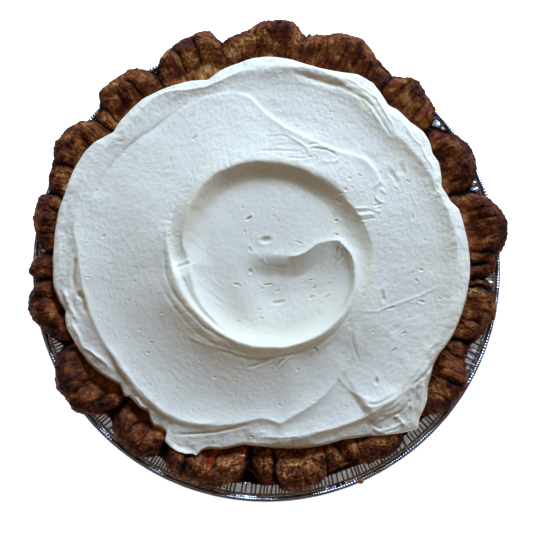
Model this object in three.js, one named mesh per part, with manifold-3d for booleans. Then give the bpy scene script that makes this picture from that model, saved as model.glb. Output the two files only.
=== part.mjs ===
// A cream-topped pie baked in its own foil tin: millimetres, +Z up, origin at the centre of the
// tin's flat base. Three solids: the tin, the baked crust with its filling, and the spread cream.
import * as THREE from "three";
import { mergeVertices } from "three/addons/utils/BufferGeometryUtils.js";
import Module from "manifold-3d";

// ---- driving dimensions ----

// Foil tin
const tinRimRadius = 122.5; // outside of the rolled bead
const tinBaseRadius = 92;
const tinMouthRadius = 112.4; // where the sloping wall turns out into the flange
const tinDepth = 30; // underside of the flange above the base
const foilThickness = 0.55;
const beadRadius = 1.3;
const tinSegments = 72;

// Baked crust and filling
const touchGap = 0.4; // clearance kept between neighbouring solids
const fillingTop = 33;
const fillingEdgeRadius = 93;
const valleyTop = 37.5; // rim height between two folds
const valleyReach = 115.5; // outer radius between two folds, on the left and right
const northShift = 5.5; // the crust sits this much towards +Y in its tin
const riseByReach = 0.62; // a fold stands this much higher for each millimetre it reaches out
const rimUnderside = 32.1; // clears the tin's bead
const rimWidth = 19; // from a fold's outermost point in to where its inner face has met the filling
const crustSegments = 120;

// The folds pinched round the rim: direction from the centre, half width, and outer radius
const crustFolds = [
  { at: 9, half: 8, reach: 126.7 },
  { at: 29.5, half: 9, reach: 123.2 },
  { at: 50, half: 9, reach: 125.3 },
  { at: 69, half: 10, reach: 129.6 },
  { at: 87, half: 8.5, reach: 130.3 },
  { at: 107, half: 8.5, reach: 128.3 },
  { at: 131, half: 9, reach: 126.6 },
  { at: 149, half: 8, reach: 127.2 },
  { at: 165, half: 9, reach: 123.6 },
  { at: 181, half: 5, reach: 123.3 },
  { at: 191.5, half: 8, reach: 124.4 },
  { at: 213, half: 10, reach: 124.2 },
  { at: 233.5, half: 9, reach: 119.3 },
  { at: 252, half: 9.5, reach: 118.1 },
  { at: 277, half: 10, reach: 116.9 },
  { at: 303.5, half: 10, reach: 116.8 },
  { at: 325.5, half: 10, reach: 120.4 },
  { at: 348, half: 9, reach: 121.3 },
];

// Spread cream
const creamTop = 47;
const creamUnderside = 32.6;
const creamLipHeight = 1.5; // widest point of the cream's edge above the crust it lies on
const shoulderWidth = 11; // from the cream's edge in to its full height
const swirlX = 1;
const swirlY = -1;
const dishDepth = 3;
const creamSegments = 90;

// Outer edge of the cream round the middle of its swirl: direction, radius
const creamEdge = [
  [2, 103], [15, 103], [24, 98], [33, 103], [42, 107], [53, 104], [63, 110], [75, 103], [91, 109],
  [106, 104], [118, 107], [132, 107], [141, 105], [154, 112], [166, 109], [178, 111], [192, 108],
  [203, 107], [215, 99], [232, 98], [243, 103], [247, 102], [258, 95], [278, 94], [296, 100],
  [307, 105], [312.5, 113], [318, 106], [328, 99], [345, 101],
];

// Ridges that the spatula left, round the middle of the swirl: direction, radius.
// Each stands height above the cream and is width across; its ends fade over endFade degrees.
const creamRidges = [
  { height: 4.5, width: 5, endFade: 30, path: [[10, 54], [40, 50], [90, 50], [135, 47], [178, 43]] },
  {
    height: 4.5,
    width: 4.5,
    endFade: 25,
    path: [[160, 54], [192, 50], [230, 46], [270, 47], [310, 48], [345, 46], [370, 39]],
  },
  {
    height: 2,
    width: 6,
    endFade: 20,
    path: [[165, 95], [190, 94], [215, 91], [240, 91], [265, 81], [285, 79], [310, 62]],
  },
  {
    height: 3,
    width: 6,
    endFade: 20,
    path: [[-50, 92], [-30, 89], [5, 94], [25, 96], [45, 91], [65, 98], [90, 103], [110, 99], [140, 104]],
  },
];

// The curled wave in the dish: a low crest running in from the end of the swirl
const waveStart = new THREE.Vector2(35, 11);
const waveEnd = new THREE.Vector2(3, -4);
const waveHeight = 4;
const waveWidth = 6;

// Rings of the cream's surface: insets from its edge, then fixed radii round the swirl
const edgeInsets = [0.7, 2.4, 5, 8, 11.5, 16, 22, 31];
const swirlRadii = [60, 54, 50, 47, 44, 40, 33, 22, 11];

// ---- shape helpers ----

const radians = THREE.MathUtils.degToRad;
const { lerp, smoothstep } = THREE.MathUtils;

// A smooth function of the direction in degrees through [direction, value] points
function smoothThrough(points) {
  const directions = points.map((point) => point[0]);
  const values = points.map((point) => point[1]);
  const curve = new THREE.CubicInterpolant(directions, values, 1, []);
  return (direction) => curve.evaluate(direction)[0];
}

// The same for a closed outline, which runs on past both ends of the turn
function smoothRound(points) {
  const turned = (turn) => points.map(([direction, value]) => [direction + turn, value]);
  return smoothThrough([...turned(-360), ...points, ...turned(360)]);
}

// A closed solid skinned over rings of points, from a bottom centre, out, up and in to a top centre
function ringSolid(bottomCentre, rings, topCentre) {
  const count = rings[0].length;
  const positions = [bottomCentre, ...rings.flat(), topCentre].flatMap((p) => [p.x, p.y, p.z]);
  const last = positions.length / 3 - 1;
  const at = (ring, step) => 1 + ring * count + (step % count);
  const triangles = [];
  for (let step = 0; step < count; step += 1) {
    triangles.push(0, at(0, step + 1), at(0, step));
    for (let ring = 0; ring < rings.length - 1; ring += 1) {
      const [a, b] = [at(ring, step), at(ring, step + 1)];
      const [c, d] = [at(ring + 1, step + 1), at(ring + 1, step)];
      triangles.push(a, b, c, a, c, d);
    }
    triangles.push(at(rings.length - 1, step), at(rings.length - 1, step + 1), last);
  }
  const geometry = new THREE.BufferGeometry();
  geometry.setAttribute("position", new THREE.Float32BufferAttribute(positions, 3));
  geometry.setIndex(triangles);
  return geometry;
}

// ---- foil tin ----

function foilTin() {
  const beadX = tinRimRadius - beadRadius;
  const beadZ = tinDepth + foilThickness / 2;
  const bead = [];
  for (let degrees = -150; degrees <= 150; degrees += 50) {
    const angle = radians(degrees);
    bead.push([beadX + beadRadius * Math.cos(angle), beadZ + beadRadius * Math.sin(angle)]);
  }
  const profile = [
    [0, 0],
    [tinBaseRadius - 1.5, 0],
    [tinBaseRadius, 1.2],
    [tinMouthRadius, tinDepth - 0.6],
    [tinMouthRadius + 0.8, tinDepth],
    ...bead,
    [tinMouthRadius + 0.4, tinDepth + foilThickness],
    [tinMouthRadius - 0.7, tinDepth - 0.3],
    [tinBaseRadius - 0.7, 1.4],
    [tinBaseRadius - 1.8, foilThickness],
    [0, foilThickness],
  ];
  const points = profile.map(([r, z]) => new THREE.Vector2(r, z));
  const geometry = new THREE.LatheGeometry(points, tinSegments);
  return geometry.rotateX(Math.PI / 2);
}

// ---- crust ----

// Outer radius of the rim and height of its crest in a direction in degrees
function rimShape(direction) {
  const base = valleyReach + northShift * Math.sin(radians(direction));
  let bulge = 0;
  for (const fold of crustFolds) {
    const turn = THREE.MathUtils.euclideanModulo(direction - fold.at + 180, 360) - 180;
    const across = Math.abs(turn) / fold.half;
    const foldBase = valleyReach + northShift * Math.sin(radians(fold.at));
    if (across < 1) bulge = Math.max(bulge, (fold.reach - foldBase) * (1 - across ** 2.4));
  }
  return { reach: base + bulge, crest: valleyTop + riseByReach * bulge };
}

// Section of the crust in one direction as [radius, height], from the base round to the filling
function crustSection(direction) {
  const { reach, crest } = rimShape(direction);
  const footRadius = tinBaseRadius - 2.4;
  const footHeight = foilThickness + touchGap;
  const mouthRadius = tinMouthRadius - 1.6;
  const wallRadius = Math.min(mouthRadius, reach - 2);
  const wallShare = (wallRadius - footRadius) / (mouthRadius - footRadius);
  const overFlange = Math.max(reach - 3, wallRadius + 1);
  return [
    [footRadius, footHeight],
    [wallRadius, lerp(footHeight, tinDepth - 0.8, wallShare)],
    [wallRadius + 0.5, rimUnderside - 0.7],
    [overFlange, rimUnderside],
    [reach, rimUnderside + 3],
    [reach - 1.6, crest - 2.6],
    [reach - 5.5, crest],
    [reach - 9.5, crest - 0.6],
    [reach - 14, lerp(fillingTop, crest, 0.45)],
    [Math.max(reach - rimWidth, fillingEdgeRadius + 1.5), fillingTop + 0.8],
    [fillingEdgeRadius, fillingTop],
  ];
}

// Height of the crust's upper surface at a radius in one direction
function crustHeight(radius, direction) {
  const section = crustSection(direction).slice(4);
  const inner = section.findIndex(([r]) => r <= radius);
  if (inner < 0) return fillingTop;
  if (inner === 0) return section[0][1];
  const [outerRadius, outerHeight] = section[inner - 1];
  const [innerRadius, innerHeight] = section[inner];
  return lerp(innerHeight, outerHeight, (radius - innerRadius) / (outerRadius - innerRadius));
}

function pieCrust() {
  const sections = [];
  for (let step = 0; step < crustSegments; step += 1) {
    const direction = (360 * step) / crustSegments;
    const angle = radians(direction);
    const place = ([r, z]) => new THREE.Vector3(r * Math.cos(angle), r * Math.sin(angle), z);
    sections.push(crustSection(direction).map(place));
  }
  const rings = sections[0].map((_, ring) => sections.map((section) => section[ring]));
  const bottomCentre = new THREE.Vector3(0, 0, foilThickness + touchGap);
  return ringSolid(bottomCentre, rings, new THREE.Vector3(0, 0, fillingTop));
}

// ---- cream ----

const creamReach = smoothRound(creamEdge);
const ridgePaths = creamRidges.map((ridge) => ({ ...ridge, radiusAt: smoothThrough(ridge.path) }));

// Height that the ridges add at a radius and direction round the swirl
function ridgeRise(radius, direction) {
  let rise = 0;
  for (const ridge of ridgePaths) {
    const first = ridge.path[0][0];
    const last = ridge.path[ridge.path.length - 1][0];
    for (const turned of [direction - 360, direction, direction + 360]) {
      if (turned > first && turned < last) {
        const fadeIn = smoothstep(turned - first, 0, ridge.endFade);
        const fadeOut = smoothstep(last - turned, 0, ridge.endFade);
        const across = (radius - ridge.radiusAt(turned)) / ridge.width;
        rise += ridge.height * fadeIn * fadeOut * Math.exp(-across * across);
      }
    }
  }
  return rise;
}

// Height of the curled wave at a point round the swirl
function waveRise(x, y) {
  const along = new THREE.Vector2().subVectors(waveEnd, waveStart);
  const offset = new THREE.Vector2(x, y).sub(waveStart);
  const share = THREE.MathUtils.clamp(offset.dot(along) / along.lengthSq(), 0, 1);
  const distance = offset.addScaledVector(along, -share).length() / waveWidth;
  return waveHeight * (1 - share) * Math.exp(-distance * distance);
}

function creamSurface(radius, direction) {
  const angle = radians(direction);
  const x = swirlX + radius * Math.cos(angle);
  const y = swirlY + radius * Math.sin(angle);
  const dish = dishDepth * (1 - smoothstep(radius, 36, 48));
  const z = creamTop - dish + ridgeRise(radius, direction) + waveRise(x, y);
  return new THREE.Vector3(x, y, z);
}

// A point of the cream's rounded shoulder, an inset in from its edge
function shoulderPoint(inset, reach, direction, edgeHeight) {
  const point = creamSurface(reach - inset, direction);
  const short = Math.max(0, 1 - inset / shoulderWidth);
  return point.setZ(lerp(edgeHeight, point.z, Math.sqrt(1 - short * short)));
}

function creamMound() {
  const rings = Array.from({ length: 2 + edgeInsets.length + swirlRadii.length }, () => []);
  for (let step = 0; step < creamSegments; step += 1) {
    const direction = (360 * step) / creamSegments;
    const reach = creamReach(direction);
    const edge = creamSurface(reach, direction);
    const tinDirection = THREE.MathUtils.radToDeg(Math.atan2(edge.y, edge.x));
    const edgeHeight = crustHeight(Math.hypot(edge.x, edge.y), tinDirection) + creamLipHeight;
    const column = [
      creamSurface(reach - 6, direction).setZ(creamUnderside),
      edge.setZ(edgeHeight),
      ...edgeInsets.map((inset) => shoulderPoint(inset, reach, direction, edgeHeight)),
      ...swirlRadii.map((radius) => creamSurface(radius, direction)),
    ];
    column.forEach((point, ring) => rings[ring].push(point));
  }
  const bottomCentre = new THREE.Vector3(swirlX, swirlY, creamUnderside);
  const topCentre = new THREE.Vector3(swirlX, swirlY, creamTop - dishDepth);
  return ringSolid(bottomCentre, rings, topCentre);
}

// ---- joining and cutting ----

const wasm = await Module();
wasm.setup();

function toManifold(geometry) {
  const bare = geometry.clone();
  bare.deleteAttribute("normal");
  bare.deleteAttribute("uv");
  const merged = mergeVertices(bare);
  return new wasm.Manifold(new wasm.Mesh({
    numProp: 3,
    vertProperties: new Float32Array(merged.attributes.position.array),
    triVerts: new Uint32Array(merged.index.array),
  }));
}

function fromManifold(solid) {
  const mesh = solid.getMesh();
  const geometry = new THREE.BufferGeometry();
  geometry.setAttribute("position", new THREE.Float32BufferAttribute(mesh.vertProperties, 3));
  geometry.setIndex(Array.from(mesh.triVerts));
  return geometry;
}

// The cream follows the crust and filling that it lies on, a gap above them and, where it
// runs over the rim, a gap outside it
function creamTopping(crustGeometry) {
  const raised = crustGeometry.clone().translate(0, 0, touchGap);
  const widening = 1 + touchGap / valleyReach;
  const widened = crustGeometry.clone().scale(widening, widening, 1);
  const cream = toManifold(creamMound());
  return fromManifold(cream.subtract(toManifold(raised)).subtract(toManifold(widened)));
}

// ---- the pie ----

const foil = new THREE.MeshStandardMaterial({ color: 0xb9bcc4, roughness: 0.3, metalness: 1 });
const bakedPastry = new THREE.MeshStandardMaterial({ color: 0x6b3f24, roughness: 0.8, metalness: 0 });
const whippedCream = new THREE.MeshStandardMaterial({ color: 0xe9edee, roughness: 0.6, metalness: 0 });

function namedMesh(name, geometry, material) {
  geometry.computeVertexNormals();
  const mesh = new THREE.Mesh(geometry, material);
  mesh.name = name;
  return mesh;
}

const crustGeometry = pieCrust();
const pie = new THREE.Group();
pie.add(namedMesh("foil_tin", foilTin(), foil));
pie.add(namedMesh("pie_crust", crustGeometry, bakedPastry));
pie.add(namedMesh("cream_topping", creamTopping(crustGeometry), whippedCream));

export default pie;
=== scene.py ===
# Cream-topped pie in the foil tin that it was baked in. Lengths are millimetres and angles degrees
# unless a comment says otherwise; +X right, +Y away from the camera, +Z up, and the origin lies at
# the centre of the tin's base.
import math
import bmesh
import bpy
import numpy as np
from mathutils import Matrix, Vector
from mathutils.bvhtree import BVHTree


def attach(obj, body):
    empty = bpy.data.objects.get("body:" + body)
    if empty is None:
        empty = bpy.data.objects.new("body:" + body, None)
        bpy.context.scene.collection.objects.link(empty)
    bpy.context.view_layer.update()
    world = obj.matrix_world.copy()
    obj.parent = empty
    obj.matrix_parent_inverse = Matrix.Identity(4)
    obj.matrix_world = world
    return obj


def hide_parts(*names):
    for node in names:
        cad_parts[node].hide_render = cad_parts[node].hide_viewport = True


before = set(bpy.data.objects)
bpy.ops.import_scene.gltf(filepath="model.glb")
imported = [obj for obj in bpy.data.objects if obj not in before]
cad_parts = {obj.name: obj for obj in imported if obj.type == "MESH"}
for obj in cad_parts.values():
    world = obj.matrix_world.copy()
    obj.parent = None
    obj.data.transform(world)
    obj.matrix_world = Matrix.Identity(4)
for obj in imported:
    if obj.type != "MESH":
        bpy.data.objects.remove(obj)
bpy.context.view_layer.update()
mm = 0.001


def smoothStep(share):
    share = np.clip(share, 0, 1)
    return share * share * (3 - 2 * share)


def bell(distance, width):
    return np.exp(-np.square(distance / width))


def softMax(first, second, softness):
    return (first + second + np.sqrt(np.square(first - second) + softness * softness)) / 2


def gradientNoise(x, y, z, seed):
    # Smooth lattice noise, about -1 to 1, the same each run; y and z may be single numbers. The
    # large whole numbers scramble each corner of the lattice into its own slope
    cells = [np.floor(value) for value in (x, y, z)]
    local = [value - cell for value, cell in zip((x, y, z), cells)]
    eased = [t * t * t * (t * (t * 6 - 15) + 10) for t in local]
    corners = [cell.astype(np.int64) for cell in cells]
    total = np.zeros_like(local[0])
    for corner in range(8):
        step = [(corner >> axis) & 1 for axis in range(3)]
        mix = (corners[0] + step[0]) * 374761393 + (corners[1] + step[1]) * 668265263
        mix = mix + (corners[2] + step[2]) * 2147483647 + seed * 1274126177
        mix = (mix ^ (mix >> 13)) * 1103515245 & 0x7FFFFFFF
        mix = (mix ^ (mix >> 11)) * 12345701 & 0x7FFFFFFF
        turn = (mix & 0x3FF) * (2 * math.pi / 1024)
        lift = ((mix >> 10) & 0x3FF) / 511.5 - 1
        flat = np.sqrt(1 - lift * lift)
        slope = [flat * np.cos(turn), flat * np.sin(turn), lift]
        value = sum(g * (t - s) for g, t, s in zip(slope, local, step))
        for s, e in zip(step, eased):
            value = value * (e if s else 1 - e)
        total = total + value
    return total * 1.6


def layeredNoise(x, y, z, size, layers, seed, roughness=0.5):
    # Noise in layers, each half the size of the one before; size is how wide the broadest bumps are
    total = 0
    strength = 1
    for layer in range(layers):
        scale = 2 ** layer / size
        total = total + strength * gradientNoise(x * scale, y * scale, z * scale, seed + layer)
        strength = strength * roughness
    return total


def turnedInto(direction, first, last):
    # The direction, turned by whole turns to lie nearest the span from first to last
    middle = (first + last) / 2
    return (direction - middle + 180) % 360 - 180 + middle


def fadeBetween(direction, first, last, fadeIn, fadeOut):
    turned = turnedInto(direction, first, last)
    return smoothStep((turned - first) / fadeIn) * smoothStep((last - turned) / fadeOut)


def softCurve(points, blur, closed=False):
    # A soft curve of value against direction, through the points. It is closed all round, or held
    # level past its ends, and then its directions may pass 360
    spacing, reach = 0.25, 20
    steps = np.arange(0, 360, spacing)
    directions, values = np.array(points, float).T
    turned = steps if closed else turnedInto(steps, directions[0], directions[-1])
    order = np.argsort(turned)
    raw = np.interp(turned[order], directions, values, period=360 if closed else None)
    window = bell(np.arange(-reach, reach + 1) * spacing, blur)
    padded = np.pad(raw, reach, mode="wrap" if closed else "edge")
    soft = np.empty_like(raw)
    soft[order] = np.convolve(padded, window / window.sum(), mode="valid")
    return lambda direction: np.interp(direction % 360, steps, soft, period=360)


def meshPiece(name, points, faces, material, attributes=None):
    # A smooth-shaded mesh from points in millimetres
    mesh = bpy.data.meshes.new(name)
    mesh.from_pydata((points * mm).tolist(), [], faces)
    for key, values in (attributes or {}).items():
        layer = mesh.attributes.new(key, "FLOAT", "POINT")
        layer.data.foreach_set("value", np.asarray(values, np.float32))
    mesh.polygons.foreach_set("use_smooth", [True] * len(mesh.polygons))
    mesh.materials.append(material)
    mesh.validate()
    piece = bpy.data.objects.new(name, mesh)
    bpy.context.scene.collection.objects.link(piece)
    return piece


def closedRings(points, rings, around, lowCentre, highCentre):
    # Joins rings of points laid one after another, and closes the first and the last to a point
    # on the pie's axis at the height given for each
    ring, step = np.meshgrid(np.arange(rings - 1), np.arange(around), indexing="ij")
    after = (step + 1) % around
    corners = [ring * around + step, ring * around + after,
               (ring + 1) * around + after, (ring + 1) * around + step]
    faces = np.stack(corners, -1).reshape(-1, 4).tolist()
    centre = rings * around
    last = centre - around
    faces += [((step + 1) % around, step, centre) for step in range(around)]
    faces += [(last + step, last + (step + 1) % around, centre + 1) for step in range(around)]
    return np.concatenate([points, [[0, 0, lowCentre], [0, 0, highCentre]]]), faces


def normalsOf(points, rings, around):
    # Outward directions of a surface made of rings
    grid = points.reshape(rings, around, 3)
    along = np.gradient(grid, axis=0)
    across = np.roll(grid, -1, axis=1) - np.roll(grid, 1, axis=1)
    normal = np.cross(along, across)
    length = np.linalg.norm(normal, axis=-1, keepdims=True)
    return (normal / np.maximum(length, 1e-9)).reshape(-1, 3)


def smoothSection(controls, steps):
    # A rounded line through control points, each an array of (radius, height) round the pie
    padded = np.concatenate([controls[:1], controls, controls[-1:]])
    rows = []
    for span, count in enumerate(steps):
        before, start, end, after = padded[span:span + 4]
        for share in np.arange(count) / count:
            rows.append(0.5 * (2 * start + (end - before) * share
                               + (2 * before - 5 * start + 4 * end - after) * share ** 2
                               + (3 * start - before - 3 * end + after) * share ** 3))
    rows.append(controls[-1])
    return np.stack(rows)


def linear(hexColour):
    # sRGB hex to the linear colour that sockets take
    channels = [int(hexColour[i:i + 2], 16) / 255 for i in (1, 3, 5)]
    curve = [c / 12.92 if c <= 0.04045 else ((c + 0.055) / 1.055) ** 2.4 for c in channels]
    return (*curve, 1.0)


def addNode(tree, kind, settings=None, inputs=None):
    # Adds a node; an input given as a socket is linked, anything else is set as its value
    node = tree.nodes.new(kind)
    for key, value in (settings or {}).items():
        setattr(node, key, value)
    for key, value in (inputs or {}).items():
        if isinstance(value, bpy.types.NodeSocket):
            tree.links.new(value, node.inputs[key])
        else:
            node.inputs[key].default_value = value
    return node


def newMaterial(name):
    material = bpy.data.materials.new(name)
    material.use_nodes = True
    material.node_tree.nodes.clear()
    return material, material.node_tree


def setRamp(node, stops):
    # Colours a ramp from (position, hex) stops
    ramp = node.color_ramp
    while len(ramp.elements) < len(stops):
        ramp.elements.new(0.5)
    for element, (position, colour) in zip(ramp.elements, stops):
        element.position = position
        element.color = linear(colour)
    return node


studio = {
    "cameraDistance": 620.0,
    "cameraTilt": 7.0,  # from straight down, leaning towards -Y
    "lookAt": (0.0, -1.0, 30.0),
    "lens": 80.07,
    "sensor": 36.0,
    "lightsAimAt": (0.0, 0.0, 40.0),
    # Soft panels: place, sides, power in watts, colour
    "window": ((280.0, 915.0, 665.0), (700.0, 380.0), 21.8, "#bed8fa"),
    "sky": ((0.0, 60.0, 1300.0), (820.0, 820.0), 1.05, "#f0eeee"),
    "fillColour": "#ffbf6c",
    "fillStrength": 0.075,
    "horizon": (0.05, 0.16),  # where the room's white ends and its dim warm tone starts, 1 overhead
    "floorColour": "#f4f2ee",
    "floorGrain": "#f1efea",
    "floorGlow": 1.0,
    "floorHalf": 3000.0,
}


def pointAt(thing, target):
    direction = Vector(target) * mm - thing.location
    thing.rotation_euler = direction.to_track_quat("-Z", "Y").to_euler()


def studioCamera():
    camera = bpy.data.objects.new("camera", bpy.data.cameras.new("camera"))
    bpy.context.scene.collection.objects.link(camera)
    tilt = math.radians(studio["cameraTilt"])
    x, y, z = studio["lookAt"]
    reach = studio["cameraDistance"]
    camera.location = Vector((x, y - reach * math.sin(tilt), z + reach * math.cos(tilt))) * mm
    camera.data.sensor_width = studio["sensor"]
    camera.data.lens = studio["lens"]
    pointAt(camera, studio["lookAt"])
    bpy.context.scene.camera = camera


def softPanel(name):
    place, sides, power, colour = studio[name]
    lamp = bpy.data.lights.new(name, "AREA")
    lamp.shape = "RECTANGLE"
    lamp.size, lamp.size_y = [side * mm for side in sides]
    lamp.energy = power
    lamp.color = linear(colour)[:3]
    panel = bpy.data.objects.new(name, lamp)
    bpy.context.scene.collection.objects.link(panel)
    panel.location = Vector(place) * mm
    pointAt(panel, studio["lightsAimAt"])


def studioLight():
    softPanel("window")
    softPanel("sky")
    world = bpy.data.worlds.new("room")
    world.use_nodes = True
    tree = world.node_tree
    tree.nodes.clear()
    # The room is dim and warm overhead, and as white as the floor along the horizon
    place = addNode(tree, "ShaderNodeTexCoord").outputs["Generated"]
    apart = addNode(tree, "ShaderNodeSeparateXYZ", None, {"Vector": place})
    whiteEnds, warmStarts = studio["horizon"]
    above = addNode(tree, "ShaderNodeMapRange", None,
                    {"Value": apart.outputs["Z"], "From Min": whiteEnds, "From Max": warmStarts})
    dim = [channel * studio["fillStrength"] for channel in linear(studio["fillColour"])[:3]]
    tone = addNode(tree, "ShaderNodeMix", {"data_type": "RGBA"},
                   {"Factor": above.outputs[0], "A": linear("#ffffff"), "B": (*dim, 1)})
    glow = addNode(tree, "ShaderNodeBackground", None, {"Color": tone.outputs["Result"]})
    addNode(tree, "ShaderNodeOutputWorld", None, {"Surface": glow.outputs[0]})
    bpy.context.scene.world = world
    bpy.context.scene.view_settings.view_transform = "Standard"


def studioFloor():
    # Matt painted board: pale and even, clouded very faintly over about 100 mm, with a little
    # light of its own so that it stays white
    material, tree = newMaterial("matt painted board")
    grain = addNode(tree, "ShaderNodeTexNoise", None, {"Scale": 60.0, "Detail": 2.0})
    tint = addNode(tree, "ShaderNodeMix", {"data_type": "RGBA"},
                   {"Factor": grain.outputs[0], "A": linear(studio["floorColour"]),
                    "B": linear(studio["floorGrain"])})
    shader = addNode(tree, "ShaderNodeBsdfPrincipled", None,
                     {"Base Color": tint.outputs["Result"], "Roughness": 0.8,
                      "Emission Color": linear("#ffffff"), "Emission Strength": studio["floorGlow"]})
    addNode(tree, "ShaderNodeOutputMaterial", None, {"Surface": shader.outputs[0]})
    half = studio["floorHalf"]
    corners = np.array([(-half, -half, 0), (half, -half, 0), (half, half, 0), (-half, half, 0)])
    floor = meshPiece("floor", corners, [(0, 1, 2, 3)], material)


tin = {
    "rimRadius": 122.5,
    "baseRadius": 92.0,
    "mouthRadius": 112.4,
    "depth": 30.0,
    "foilThickness": 0.55,
    "beadRadius": 1.3,
    "ribs": 176,  # pressed pleats round the wall and flange, flat on top and between, 4.2 mm apart
    "ribHeight": 0.42,
    "ribFlatness": 2.2,
    "ribLean": 0.12,  # how the ribs slew as they run outwards
    "dent": 0.35,  # depth of dents in the wall
    "beadTeeth": 560,  # knurl on the rolled bead, 1.35 mm apart
    "toothHeight": 0.55,
    "around": 2800,
}


def pressedFoil():
    # Aluminium foil, cold-rolled and pressed: bright, softly blurred reflections with fine rolling
    # lines and small dents, so each rib flashes light and dark
    material, tree = newMaterial("pressed aluminium foil")
    place = addNode(tree, "ShaderNodeTexCoord").outputs["Object"]
    # Dents about 6 mm wide; rolling lines drawn 0.4 mm apart, coarser than real ones, to show
    dents = addNode(tree, "ShaderNodeTexNoise", None, {"Vector": place, "Scale": 160.0, "Detail": 3.0})
    rolled = addNode(tree, "ShaderNodeMapping", None, {"Vector": place, "Scale": (2600.0, 60.0, 60.0)})
    lines = addNode(tree, "ShaderNodeTexNoise", None,
                    {"Vector": rolled.outputs[0], "Scale": 1.0, "Detail": 2.0})
    # Painted reflection: the foil is tinted faintly blue, for the cool light that it mirrors
    tone = setRamp(addNode(tree, "ShaderNodeValToRGB", None, {"Fac": dents.outputs[0]}),
                   [(0.3, "#b2b8c4"), (0.7, "#d3d8e2")])
    rough = addNode(tree, "ShaderNodeMapRange", None,
                    {"Value": lines.outputs[0], "To Min": 0.18, "To Max": 0.3})
    bump = addNode(tree, "ShaderNodeBump", None,
                   {"Height": dents.outputs[0], "Strength": 0.5, "Distance": 0.0004})
    # Painted shade: the outer wall, which mirrors the bright floor, is darkened in its colour
    outside = addNode(tree, "ShaderNodeAttribute", {"attribute_name": "outside"}).outputs["Fac"]
    wallShaded = addNode(tree, "ShaderNodeMix", {"data_type": "RGBA", "blend_type": "MULTIPLY"},
                     {"Factor": outside, "A": tone.outputs[0], "B": linear("#a9adb5")})
    shader = addNode(tree, "ShaderNodeBsdfPrincipled", None,
                     {"Base Color": wallShaded.outputs["Result"], "Metallic": 1.0,
                      "Roughness": rough.outputs[0], "Normal": bump.outputs[0]})
    addNode(tree, "ShaderNodeOutputMaterial", None, {"Surface": shader.outputs[0]})
    return material


def tinProfile(beadX, beadZ):
    # From the middle of the underside, up the outside, round the bead and back down the inside.
    # Each row: radius, height, how strongly the ribs show, how strongly the knurl shows
    base, mouth, depth = tin["baseRadius"], tin["mouthRadius"], tin["depth"]
    thickness, bead = tin["foilThickness"], tin["beadRadius"]

    def wallRows(radius, height, shares):
        return [(radius + (mouth - base) * share, height + (depth - 2.2) * share, 0.25 + 0.85 * share, 0)
                for share in shares]

    rows = [(30, 0, 0, 0), (60, 0, 0, 0), (base - 4, 0, 0, 0), (base - 1.6, 0.1, 0, 0)]
    rows += [(base - 0.4, 0.7, 0.1, 0)]
    rows += wallRows(base, 1.4, np.linspace(0.03, 0.97, 12))
    rows += [(mouth + 0.5, depth - 0.3, 1, 0)]
    outsideRows = len(rows)
    rows += [(radius, depth, 1, 0) for radius in np.linspace(mouth + 1.5, beadX - bead - 0.6, 6)]
    rows += [(beadX + bead * math.cos(turn), beadZ + bead * math.sin(turn), 0, 1)
             for turn in np.radians(np.arange(-165, 181, 15))]
    rows += [(beadX - bead - 0.1, depth + 0.1, 0.1, 0), (beadX - bead - 0.8, depth + 0.1, 0.25, 0)]
    rows += [(radius, depth + thickness, 1, 0)
             for radius in np.linspace(beadX - bead - 1.3, mouth + 1.2, 8)]
    rows += [(mouth - 0.2, depth - 0.1, 1, 0)]
    rows += wallRows(base - 0.7, 1.6, np.linspace(0.95, 0.03, 10))
    rows += [(base - 1.2, 0.9, 0.1, 0), (base - 3, thickness, 0, 0)]
    rows += [(60, thickness, 0, 0), (30, thickness, 0, 0)]
    return np.array(rows), outsideRows


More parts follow.
